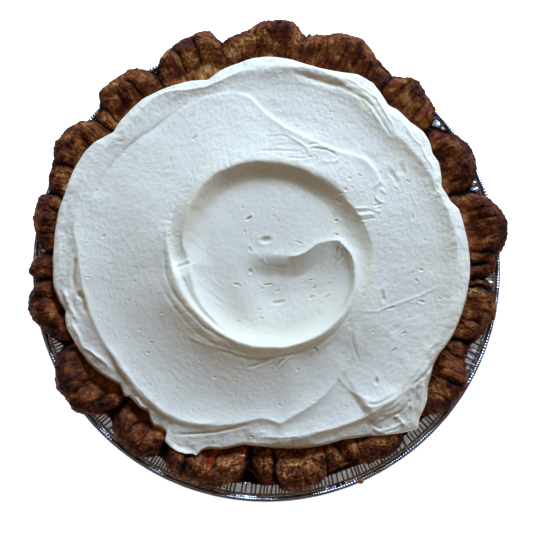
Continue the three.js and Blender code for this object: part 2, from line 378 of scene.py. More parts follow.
def foilTin():
    around, depth, bead = tin["around"], tin["depth"], tin["beadRadius"]
    beadX, beadZ = tin["rimRadius"] - bead - 0.15, depth + tin["foilThickness"] / 2 + 0.05
    profile, outsideRows = tinProfile(beadX, beadZ)
    rings = len(profile)
    radius, height, ribShare, toothShare = [np.repeat(column[:, None], around, 1) for column in profile.T]
    angle = np.radians(np.repeat((np.arange(around) * 360.0 / around)[None], rings, 0))
    # Ribs: uneven in spacing and strength, leaning a little as they run out. The noise is read
    # round a ring, so that it closes on itself
    noiseRing = 20
    ringX, ringY = np.cos(angle) * noiseRing, np.sin(angle) * noiseRing
    drift = layeredNoise(ringX, ringY, radius * 0.02, 3.0, 3, 41)
    strength = 0.75 + 0.5 * gradientNoise(ringX * 1.7, ringY * 1.7, radius * 0.04, 47)
    phase = angle * tin["ribs"] + drift * 5 + (radius - tin["mouthRadius"]) * tin["ribLean"]
    wave = np.tanh(tin["ribFlatness"] * np.sin(phase) + 0.5 * np.sin(3 * phase + drift * 4))
    rib = wave * strength * ribShare * tin["ribHeight"]
    teeth = np.abs(np.sin(angle * tin["beadTeeth"] / 2 + drift * 3)) ** 0.7
    rolled = (teeth - 0.6) * tin["toothHeight"] * toothShare
    rolled = rolled * (0.7 + 0.6 * gradientNoise(ringX, ringY, 3, 53))
    # Ribs push the wall in and out, and the flange up and down
    wallShare = np.clip((depth - height) / 3, 0, 1)
    dented = tin["dent"] * layeredNoise(ringX * 0.5, ringY * 0.5, height * 0.1, 2.0, 2, 59)
    radius = radius + rib * wallShare + rolled * np.sign(radius - beadX) * toothShare
    radius = radius + dented * wallShare * ribShare
    crown = (1 - np.abs((radius - beadX) / bead)).clip(0, 1)
    height = height + rib * (1 - wallShare) * 0.8 + rolled * crown
    points = np.stack([radius * np.cos(angle), radius * np.sin(angle), height], -1).reshape(-1, 3)
    points, faces = closedRings(points, rings, around, 0, tin["foilThickness"])
    # Rows of the outer wall, which get the painted shade
    outside = np.append(np.repeat(np.arange(rings) < outsideRows, around), [1, 0])
    piece = meshPiece("foil_pie_tin", points, faces, pressedFoil(), {"outside": outside})
    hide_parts("foil_tin")
    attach(piece, "root")


crust = {
    "valleyTop": 37.5,  # height of the rim between two folds
    "valleyReach": 115.5,  # its outer radius there
    "northShift": 5.5,  # how much farther it reaches at the back, and less at the front
    "riseByReach": 0.62,  # how much higher a fold stands for each millimetre it reaches out
    "fillingTop": 33.0,
    "lump": 0.9,  # height of the broad lumps
    "wrinkle": 0.42,  # of the wrinkles running inwards
    "blister": 0.4,
    "flake": 0.3,  # thickness of the broken, flaky skin
    "crack": 0.75,  # depth of the fine cracks between the wrinkles
    "craze": 0.4,  # depth of the short cracks across the skin
    "tone": 0.23,  # how golden it is baked, 0 scorched to 1 pale
    "patchiness": 0.3,
    "around": 2200,
}

# The crust's outer edge, seen from above: direction and radius round the pinched folds
crustEdge = [
    (0.4, 119), (2.3, 120.4), (4.2, 123.6), (6.8, 126.2), (9.6, 126.9), (11.8, 126.5), (14, 124.2),
    (18.1, 118.1), (20.6, 115.3), (23.8, 120.9), (26.4, 122.7), (30.2, 123.2), (32.7, 122), (39, 116.1),
    (43.5, 121.6), (46.7, 124.1), (50.2, 125.4), (52.8, 124.7), (54.7, 121.8), (56.6, 120.4),
    (62, 123.8), (63.9, 126.8), (66.5, 129.2), (69, 129.8), (71.9, 129.5), (77.3, 125.2), (80.5, 123.8),
    (82, 125.5), (83.6, 128.9), (85.6, 130.1), (90, 129.9), (91.9, 128.9), (93.8, 126.3), (96.4, 124),
    (98.3, 123.5), (100.8, 120.9), (102.1, 123), (103.7, 126.9), (105.9, 128.8), (109.1, 128.1),
    (115.5, 124.8), (119.9, 119.5), (125, 125.7), (131.3, 127), (133.9, 126.2), (135.8, 123.6),
    (137.4, 120.2), (139, 119.6), (140.9, 120.3), (142.8, 123.5), (145.3, 126), (149.1, 127.4),
    (151.7, 126.7), (156.8, 122.4), (161.9, 120.2), (163.1, 122.8), (168.8, 123.7), (172, 122.3),
    (175.5, 117.6), (177.1, 116.8), (179.9, 121.8), (181.5, 123.2), (182.4, 123.2), (184, 120.9),
    (185.3, 120.4), (188.4, 123.9), (191.2, 124.8), (194, 123.5), (199.7, 116), (201.9, 114.2),
    (206.5, 121.6), (209, 123.4), (211.4, 124.2), (217.3, 123.8), (219.2, 121.8), (222, 115.1),
    (224.8, 111.1), (225.7, 113.4), (227.5, 116.1), (229.9, 118), (233, 119.1), (235.4, 118.9),
    (237.6, 117.6), (241.3, 112.8), (242.2, 113), (243.4, 115.1), (245.2, 116), (253.1, 118.1),
    (256.1, 117.4), (261.5, 113.5), (264, 111.3), (265.8, 107.7), (268.8, 112.2), (270, 113.1),
    (272.4, 113.5), (273.6, 115.3), (276, 116.6), (278.5, 116.9), (281.5, 116.4), (288.1, 111.2),
    (290.5, 110.4), (293, 110.7), (297.2, 114.8), (303.3, 116.9), (305.8, 116.4), (311.2, 110.9),
    (314.9, 111.7), (316.8, 113.5), (320.5, 119.1), (323, 120.4), (328.8, 119.9), (332.8, 114.8),
    (336.8, 112.7), (346, 120.7), (352.2, 121.1), (354.1, 118.6), (355.6, 115.5),
]
rimReach = softCurve(crustEdge, 0.7, closed=True)

# Creases pressed between and across the folds: direction, depth, width, lean, where it starts
# and ends (0 by the filling, 1 at the outer edge)
crustCreases = [
    (184.3, 2.2, 1.3, 2, 0, 1), (189.5, 1.4, 1, 3, 0, 0.55), (202, 2.8, 1.5, 2, 0, 1),
    (203.9, 1.3, 0.9, -3, 0, 0.5), (214.3, 1.8, 1.1, 6, 0, 0.55), (219.7, 1.6, 1.1, 5, 0, 0.55),
    (224.5, 3.2, 1.5, -2, 0, 1), (231, 1.6, 1.4, -5, 0, 0.45), (235.3, 1, 0.8, 3, 0.2, 0.8),
    (241.5, 3, 1.5, 3, 0, 1), (248.1, 1.6, 1.1, 3, 0, 0.8), (255.4, 1.5, 1.1, -3, 0, 0.4),
    (264.9, 3.4, 1.7, 0, 0, 1), (269, 1.2, 0.9, -2, 0, 0.6), (272.4, 2.6, 1.2, 2, 0, 1),
    (279.7, 0.9, 0.9, 8, 0.3, 0.8), (287, 1.6, 1.2, -4, 0.2, 1), (291, 1.8, 1.2, 4, 0, 0.6),
    (296.3, 1.2, 0.9, -4, 0, 0.8), (309, 2, 1.1, -3, 0, 1), (313.9, 2.4, 1.2, 0, 0, 1),
    (322.3, 1.2, 0.9, 9, 0.2, 0.9), (326.8, 1.8, 1.2, 3, 0, 0.7), (333.6, 1.2, 0.9, -5, 0, 1),
    (338, 2.6, 1.3, 3, 0, 1), (343.8, 1.5, 1, -3, 0, 0.6), (353.2, 2.4, 1.6, -2, 0, 0.9),
    (355.7, 2.4, 1.2, 2, 0, 1), (0, 2.4, 1.5, 2, 0, 0.6), (2.7, 1.6, 1.1, -3, 0, 0.7),
    (7.5, 0.9, 0.8, 6, 0, 0.45), (11.5, 1.6, 1.1, -6, 0, 0.5), (14.1, 1.4, 0.9, -5, 0, 0.6),
    (20.1, 3, 1.5, -2, 0, 1), (23.6, 1.4, 1, -3, 0, 0.4), (33.8, 1.2, 0.9, 5, 0.1, 0.7),
    (36.3, 1.1, 0.8, 4, 0, 0.6), (39.7, 3, 1.5, 2, 0, 1), (45.6, 1.5, 1, 4, 0, 0.6),
    (48.4, 1, 0.8, -4, 0, 0.5), (52.1, 1.4, 0.9, -6, 0, 0.7), (56.4, 1.6, 1.2, 3, 0, 1),
    (62.1, 1.2, 0.9, 3, 0, 0.6), (65.7, 1.5, 1, -5, 0, 0.55), (70.1, 1.4, 0.9, 4, 0, 0.55),
    (74.6, 1.3, 0.9, 5, 0, 0.6), (80.6, 1.5, 1.2, -2, 0, 1), (85.4, 1.3, 0.9, 4, 0, 0.5),
    (88.5, 1, 0.8, -3, 0, 0.5), (92.6, 1.2, 0.9, -4, 0, 0.6), (101.1, 1.7, 1.3, 2, 0, 1),
    (108.3, 1.8, 1.1, 3, 0, 0.65), (113.1, 1.7, 1, 4, 0, 0.85), (119.9, 2.1, 1.3, -3, 0, 1),
    (126.9, 1.9, 1.2, 5, 0, 0.6), (131, 1.1, 0.9, -4, 0, 0.5), (136.4, 1.8, 1.2, 2, 0, 0.9),
    (139.7, 2, 1.2, 2, 0, 1), (146.2, 1, 0.8, 4, 0, 0.4), (154.3, 1.4, 1, 4, 0, 0.7),
    (162, 2.6, 1.3, -2, 0, 1), (166.1, 1.3, 0.9, -3, 0, 0.5), (172.5, 1.4, 1, 3, 0, 0.7),
    (177.1, 2.8, 1.4, 0, 0, 1),
]


def rimCrest(direction):
    base = crust["valleyReach"] + crust["northShift"] * np.sin(np.radians(direction))
    return crust["valleyTop"] + crust["riseByReach"] * np.clip(rimReach(direction) - base, -3, 20)


def crustTop(x, y):
    # Height of the crust and filling, without their relief, for what lies on them
    direction = np.degrees(np.arctan2(y, x))
    inset = rimReach(direction) - np.hypot(x, y)
    level = crust["fillingTop"] + 0.8
    return level + (rimCrest(direction) - level) * smoothStep((19 - inset) / 10)


def bakedShortcrust():
    # Egg-washed shortcrust, baked dark: purple-brown where it scorched on the crests, mahogany
    # between, golden along broken flakes; matt, with only a faint greasy shine
    material, tree = newMaterial("dark baked shortcrust")
    place = addNode(tree, "ShaderNodeTexCoord").outputs["Object"]
    # Flecks of flour and fat, about 1.3 mm and finer
    fleck = addNode(tree, "ShaderNodeTexNoise", None,
                    {"Vector": place, "Scale": 800.0, "Detail": 4.0, "Roughness": 0.6})
    baked = addNode(tree, "ShaderNodeAttribute", {"attribute_name": "baked"}).outputs["Fac"]
    crease = addNode(tree, "ShaderNodeAttribute", {"attribute_name": "crease"}).outputs["Fac"]
    mixed = addNode(tree, "ShaderNodeMath", {"operation": "MULTIPLY_ADD"},
                    {0: fleck.outputs[0], 1: 0.45, 2: baked})
    tone = setRamp(addNode(tree, "ShaderNodeValToRGB", None, {"Fac": mixed.outputs[0]}),
                   [(0.12, "#280e09"), (0.30, "#441b0f"), (0.45, "#602d15"), (0.60, "#82461f"),
                    (0.75, "#a16735"), (0.88, "#c08c53"), (1.0, "#dcb27e")])
    # Painted shade: the crease attribute darkens creases and cracks towards #341812
    shaded = addNode(tree, "ShaderNodeMix", {"data_type": "RGBA", "blend_type": "MULTIPLY"},
                     {"Factor": crease, "A": tone.outputs[0], "B": linear("#341812")})
    rough = addNode(tree, "ShaderNodeMapRange", None,
                    {"Value": fleck.outputs[0], "From Min": 0.3, "From Max": 0.7,
                     "To Min": 0.42, "To Max": 0.75})
    bump = addNode(tree, "ShaderNodeBump", None,
                   {"Height": fleck.outputs[0], "Strength": 0.6, "Distance": 0.0006})
    shader = addNode(tree, "ShaderNodeBsdfPrincipled", None,
                     {"Base Color": shaded.outputs["Result"], "Roughness": rough.outputs[0],
                      "IOR": 1.45, "Specular IOR Level": 0.1, "Normal": bump.outputs[0]})
    addNode(tree, "ShaderNodeOutputMaterial", None, {"Surface": shader.outputs[0]})
    return material


def creaseDepth(direction, outward, radius, wander):
    # Each crease is a sharp V in a wider hollow, which opens towards the outer edge
    depth = np.zeros_like(radius)
    for at, deep, width, lean, startsAt, endsAt in crustCreases:
        turned = turnedInto(direction, at, at)
        across = np.radians(turned - at) * radius - lean * (outward - 0.5) * 0.6 - wander
        ends = smoothStep((endsAt - outward) / 0.2 + 0.5) * smoothStep((outward - startsAt) / 0.2 + 0.5)
        vee = np.exp(-np.abs(across) / (0.85 * width)) + 0.35 * outward * bell(across, 2.6 * width)
        depth = np.maximum(depth, deep * ends * vee)
    return depth


def crustSection(direction):
    # Rings of (radius, height): from the middle of the hidden base, up the tin's wall, round the
    # rim and in over the filling. Also how much relief each ring shows, and how far out it lies
    # along the rim, 0 at the filling to 1 at the outer edge
    reach, crest = rimReach(direction), rimCrest(direction)
    filling, level = crust["fillingTop"], np.ones(len(direction))
    foot, footHeight = tin["baseRadius"] - 2.8, tin["foilThickness"] + 0.4
    mouth, mouthHeight = tin["mouthRadius"] - 2.2, tin["depth"] - 0.8
    wall = np.minimum(mouth, reach - 2)
    wallTop = footHeight + (mouthHeight - footHeight) * (wall - foot) / (mouth - foot)
    over = np.maximum(reach - 3, wall + 1)
    upWall = [(foot + (wall - foot) * share, footHeight + (wallTop - footHeight) * share)
              for share in (0.04, 0.3, 0.75)]
    controls = [(50 * level, footHeight * level), (foot * level - 3, footHeight * level)] + upWall
    controls += [(wall, wallTop), (wall + 0.5, 31.4 * level), (over, 32.3 * level),
                 (reach - 0.7, 33.2 * level), (reach, 35.2 * level + 0.2 * (crest - crust["valleyTop"])),
                 (reach - 1.7, crest - 2.6), (reach - 5.5, crest), (reach - 9.5, crest - 0.6),
                 (reach - 14, filling + 0.5 * (crest - filling)), (reach - 18.5, filling + 0.8 * level),
                 (91 * level, filling * level), (50 * level, filling * level)]
    steps = [1, 2, 2, 3, 2, 2, 3, 4, 8, 10, 12, 12, 14, 12, 6, 1]
    section = smoothSection(np.stack([np.stack(pair, -1) for pair in controls]), steps)
    # Rings at which the named parts of the section start
    overTin, underEdge, outerEdge, innerFoot, fillingStarts = np.cumsum([0] + steps)[[6, 7, 8, 14, 15]]
    ring = np.arange(len(section))
    shown = smoothStep((ring - overTin) / (outerEdge - overTin))
    shown = shown * smoothStep((fillingStarts - ring) / (fillingStarts - innerFoot))
    return section, shown, (innerFoot - ring) / (innerFoot - underEdge)


def crustRelief(x, y, z, direction, outward, crease):
    # How far the skin stands out, how golden it is baked, and the painted shade in its creases and cracks
    radius = np.hypot(x, y)
    rimRadius = 118
    turn = np.radians(direction) * rimRadius
    inner = smoothStep((0.75 - outward) / 0.4)
    lumps = layeredNoise(x, y, z, 12, 2, 61)
    wrinkles = layeredNoise(radius * 0.42, turn, z * 0.42, 4.6, 2, 62) * (0.2 + 0.6 * inner)
    blisters = layeredNoise(x, y, z, 5.2, 2, 74, 0.55)
    fine = layeredNoise(radius * 0.4, turn, z * 0.4, 1.7, 2, 66) * inner
    # Fine cracks, where the pastry split along its pleats; they come and go
    split = layeredNoise(radius * 0.16, turn, z * 0.16, 4.6, 2, 68, 0.4)
    along = layeredNoise(x, y, z, 7, 2, 69)
    cracks = bell(split, 0.09) * smoothStep((along + 0.05) / 0.3) * smoothStep((1.0 - outward) / 0.4)
    craze = layeredNoise(x, y, z, 3.4, 2, 72, 0.6)
    crazeShows = smoothStep((layeredNoise(x, y, z, 9, 1, 73) + 0.25) / 0.3)
    crazed = bell(craze, 0.08) * smoothStep((outward - 0.05) / 0.2) * crazeShows
    # The skin is coarse and crumbly at the front and back, finer elsewhere
    back = bell(direction - 92, 30)
    coarse = np.maximum(bell(turnedInto(direction, 90, 450) - 272, 42), 0.8 * back)
    grit = layeredNoise(x, y, z, 1.5, 2, 70, 0.7)
    grit = grit * np.maximum(smoothStep((outward - 0.45) / 0.4), coarse)
    # Skin broken into flakes: small steps where one layer ends over the next
    skin = layeredNoise(x, y, z, 5.0, 3, 63, 0.62)
    under = layeredNoise(x, y, z, 3.2, 3, 67, 0.62)
    flakes = smoothStep((skin - 0.02) / 0.1) + 0.7 * smoothStep((under + 0.12) / 0.1)
    relief = lumps * crust["lump"] + wrinkles * crust["wrinkle"] + 0.2 * fine
    relief = relief + blisters * crust["blister"] + (flakes - 0.9) * crust["flake"]
    relief = relief - cracks * crust["crack"] - crazed * crust["craze"] + (0.2 + 0.25 * coarse) * grit
    # Scorched on top of the folds and in patches, golden where flakes broke and grit stands out
    patches = layeredNoise(x, y, z, 9, 3, 64, 0.6)
    scorched = smoothStep((z - 36) / 6) * smoothStep((outward - 0.2) / 0.3)
    baked = crust["tone"] + crust["patchiness"] * patches - 0.1 * scorched + 0.1 * inner
    baked = baked + 0.04 * fine + 0.06 * wrinkles + 0.08 * blisters + (0.22 + 0.1 * coarse) * grit
    baked = baked + 0.12 * bell(skin - 0.07, 0.06) + 0.1 * bell(under + 0.06, 0.05) + 0.1 * under
    # A little more golden at the front and back, darkest on the left
    baked = baked + 0.03 * coarse - 0.08 * bell(direction - 202, 28) - 0.05 * bell(direction - 25, 25)
    # Painted shade: creases, cracks and crazing are darkened, less so at the back
    creaseShade = np.maximum((crease - 0.35) / 1.3, np.maximum(0.65 * cracks, 0.6 * crazed))
    return relief, baked, np.clip(creaseShade, 0, 1) * (1 - 0.35 * back)


def pieCrust():
    around = crust["around"]
    direction = np.arange(around) * 360.0 / around
    section, shown, outward = crustSection(direction)
    rings = len(section)
    shown, outward = np.repeat(shown, around), np.repeat(outward, around)
    angle = np.radians(direction)
    radius, height = section[..., 0], section[..., 1]
    points = np.stack([radius * np.cos(angle), radius * np.sin(angle), height], -1).reshape(-1, 3)
    x, y, z = points.T
    radius = np.hypot(x, y)
    direction = np.tile(direction, rings)
    crease = creaseDepth(direction, outward, radius, 1.2 * layeredNoise(x, y, z, 9, 2, 71))
    relief, baked, creaseShade = crustRelief(x, y, z, direction, outward, crease)
    points = points + normalsOf(points, rings, around) * (relief * shown)[:, None]
    # Creases sink towards the core of the rolled rim, at most 0.6 of the way there
    coreRadius, coreHeight = rimReach(direction) - 9, 33.5
    inward = (coreRadius - radius) / radius
    sink = np.stack([inward * x, inward * y, coreHeight - z], -1)
    away = np.linalg.norm(sink, axis=1)
    points = points + sink * (np.minimum(crease, 0.6 * away) / np.maximum(away, 0.1) * shown)[:, None]
    underside = section[0, 0, 1]
    points[:, 2] = np.maximum(points[:, 2], underside)
    points, faces = closedRings(points, rings, around, underside, crust["fillingTop"])
    # The crease attribute carries the painted shade of creases and cracks
    piece = meshPiece("baked_crust", points, faces, bakedShortcrust(),
                      {"baked": np.append(baked, [0, 0]), "crease": np.append(creaseShade, [0, 0])})
    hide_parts("pie_crust")
    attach(piece, "root")
    return piece


cream = {
    "swirlCentre": (1.0, -1.0),
    "floor": 43.2,  # bottom of the swirl's dish, before the curl steps it down
    "curlDrop": 5.1,  # from the curl's crest to the dish on its near side
    "rimWobble": 0.55,  # how far the swirl's rims wander in and out
    "edgeLift": 1.2,  # edge of the cream above the crust
    "edgeRound": 1.8,  # radius of that edge
    "edgeLumps": 0.5,
    "swell": 0.22,  # height of broad unevenness
    "grain": 0.05,  # height of the fine drag lines
    "rough": 0.085,  # height of the fine roughness
    "wander": 0.35,  # how far marks and air holes stray from their drawn lines
    "grooveLip": 0.15,  # how far a groove's edges stand up, as a share of its depth
    "holeLip": 0.1,  # the same for an air hole
    "holeDepth": 0.48,  # how much of its depth an air hole has
    "pricks": 110,  # small air holes strewn over the spread
    "prickSeed": 5,
    "fullShadeDepth": 1.6,  # a hollow this deep gets the full painted ivory shade
    "grid": 470,  # points each way, about 0.45 mm apart
}

# Spatula strokes, each along a path of direction and radius round the swirl's centre. rise is the
# height of its crest, inner and outer how far that spreads each way, round the crest's softness;
# past the crest the surface steps down by drop over slope, and climbs back over reach.
creamStrokes = {
    "rimCrease": dict(
        path=[(166, 54.4), (178, 52.7), (189, 52), (198, 50.5), (207, 48.3), (216, 46.9), (225, 46.2),
              (233, 45.4), (242, 44.9), (252, 45.2)],
        fade=(8, 10), rise=-0.6, inner=0.6, outer=0.5, round=0.2, drop=0.3, slope=0.5, reach=3.5),
    "rimFold": dict(
        path=[(187, 57), (195, 54.8), (203, 53.4), (212, 51.8), (225, 50.8), (233, 50), (240, 48.9),
              (252, 47.8), (262, 46.6)],
        fade=(10, 8), rise=-0.3, inner=0.7, outer=0.5, round=0.2),
    "rimFoldRidge": dict(
        path=[(218, 56), (225, 54.5), (233, 52.3), (240, 50.2), (247, 48.7), (258, 48.9), (266, 48),
              (278, 47), (288, 46.6)],
        fade=(9, 12), rise=0.2, inner=0.5, outer=0.5, round=0.2),
    "rimUnder": dict(
        path=[(240, 51.4), (246, 50), (258, 50.2), (268, 48.9), (278, 48.1), (292, 48)],
        fade=(6, 8), rise=-0.45, inner=0.4, outer=0.8, round=0.2),
    "flapCrease": dict(
        path=[(182, 46), (187, 45), (195, 43.7), (203, 43), (210, 42.3), (218, 41.8), (226, 41.3),
              (238, 41)],
        fade=(3, 14), rise=-0.35, inner=0.7, outer=0.35, round=0.15),
    "rimStrand": dict(
        path=[(280, 47.4), (291, 48.2), (301, 48.6), (312, 48.6), (325, 48.8), (336, 48.6)],
        fade=(12, 14), rise=-0.3, inner=0.5, outer=0.5, round=0.2),
    "rimStrandOuter": dict(
        path=[(274, 49.4), (285, 49.9), (297, 50.8), (308, 50.6), (320, 50.4)],
        fade=(10, 14), rise=0.2, inner=0.5, outer=0.6, round=0.2),
    "lowerRimInner": dict(
        path=[(176, 41.5), (181, 39.9), (187, 40.1), (195, 39.3), (204, 38.9), (209, 39.2), (220, 39.8)],
        fade=(5, 16), rise=0.8, inner=1.2, outer=1.4, round=0.3, drop=0.3, slope=0.8, reach=2.5),
    "discEdge": dict(
        path=[(160, 103), (170, 101), (176, 97.4), (183, 95.9), (191, 94.7), (202, 93.2), (211, 92),
              (218, 92.6), (227, 92.9), (234, 92.9), (240, 92.1), (246, 89.9), (256, 84.2), (262, 81),
              (267, 78.6), (271.5, 79.6), (274, 81.8), (277, 79.6), (285, 75.9), (294, 72.2),
              (302, 67.8), (309, 63.5), (319, 55.6), (324, 52)],
        fade=(14, 46), rise=1.6, inner=5, outer=3.4, round=0.4, drop=0.9, slope=5, reach=22),
    "southLip": dict(
        path=[(204, 92.5), (212, 90.8), (222, 91.4), (232, 91.8), (240, 91.2), (247, 88.4), (254, 83.6)],
        fade=(8, 6), rise=0.7, inner=2.6, outer=0.9, round=0.2),
    "southEastLip": dict(
        path=[(262, 88.2), (270, 88.2), (278, 88.8), (285, 88.8), (293, 90.2), (300, 91.6), (308, 92.6),
              (317, 92.4), (330, 92.6), (340, 92.8)],
        fade=(8, 12), rise=0.8, inner=2.8, outer=1, round=0.2),
    "secondFold": dict(
        path=[(206, 95.4), (212, 94.6), (220, 94.9), (228, 94.8), (234, 94.6), (240, 94.1), (246, 92.6)],
        fade=(8, 8), rise=-0.6, inner=0.8, outer=0.7, round=0.2, drop=0.4, slope=0.8, reach=4),
    "leftLip": dict(
        path=[(150, 108), (158, 108.5), (166, 108.8), (174, 107.6), (182, 107), (188, 105.8),
              (193, 104), (198, 104.6), (203, 102.8), (210, 98.6), (216, 96.6)],
        fade=(10, 8), rise=0.6, inner=2, outer=3, round=0.5),
    "bottomCrest": dict(
        path=[(259, 92.6), (263, 91.8), (271, 90.6), (278, 90.2), (283, 89.8), (289, 89.6), (294, 90),
              (299, 91), (303, 92.6), (307, 94.2), (311, 95.6), (316, 96)],
        fade=(12, 5), rise=1.7, inner=8, outer=3, round=0.5, drop=0.3, slope=2.6, reach=40),
    "rightRidge": dict(
        path=[(302, 85.6), (305, 88.5), (309.6, 92), (315, 95), (323, 95.8), (331, 95.4), (342, 94.8),
              (352, 95), (360, 96.4), (370, 96.6), (380, 95.1)],
        fade=(3, 16), rise=3.6, inner=8, outer=8, round=0.7, drop=0.3, slope=2, reach=20),
    "northEastEdge": dict(
        path=[(2, 95), (10, 96.3), (16, 95.8), (24, 94.7), (30, 94.8), (36, 94.2), (41, 94.2),
              (44, 93.6), (46.5, 91.5), (49, 92), (52, 93.2), (56, 95.8), (60, 98.2), (65, 100.5),
              (70, 103), (75, 105.2), (80, 104.2), (84, 103), (89, 102.8), (94, 103)],
        fade=(14, 10), rise=1.7, inner=3.8, outer=11, round=0.6),
    "northEastSlope": dict(
        path=[(2, 96), (24, 95), (44, 94), (56, 95.8), (65, 100), (75, 104.6), (84, 102.6), (92, 102.8)],
        fade=(16, 10), rise=1.6, inner=12, outer=18, round=1),
    "topLip": dict(
        path=[(84, 99), (90, 101.3), (95, 101.5), (101, 100.2), (106, 98.2), (110, 97.8), (116, 100.4),
              (121, 104.1), (126, 104.7), (130, 103.7), (138, 102.1), (146, 101)],
        fade=(8, 10), rise=2, inner=4.5, outer=9, round=0.8),
    "innerFold": dict(
        path=[(33, 71.8), (36, 72.6), (41, 73.7), (47, 74.3), (52, 71.6), (56, 69.7), (61, 68.2),
              (66, 68), (72, 68.8), (77, 69.8), (83, 72), (88, 76), (91, 79.1), (94, 84), (96, 88.5),
              (102, 92), (109, 93), (116, 93), (124, 91.9), (131.5, 92.1)],
        fade=(4, 12), rise=-0.4, inner=0.7, outer=0.5, round=0.2, drop=0.8, slope=0.8, reach=14),
    "innerFoldCrest": dict(
        path=[(33, 70.6), (41, 72.5), (47, 73), (52, 70.4), (56, 68.5), (61, 67.1), (66, 66.9),
              (72, 67.6), (77, 68.6), (83, 70.7), (88, 74.6), (91, 77.6), (94, 82.4), (97, 87.5),
              (102, 90.6)],
        fade=(4, 20), rise=0.5, inner=2.4, outer=0.7, round=0.3),
    "westFold": dict(
        path=[(118, 92.4), (124, 91.9), (131.5, 92.1), (139, 94.1), (145, 95.3), (151, 96), (157, 96),
              (160, 95)],
        fade=(12, 5), rise=-0.9, inner=4.5, outer=1, round=0.5),
}

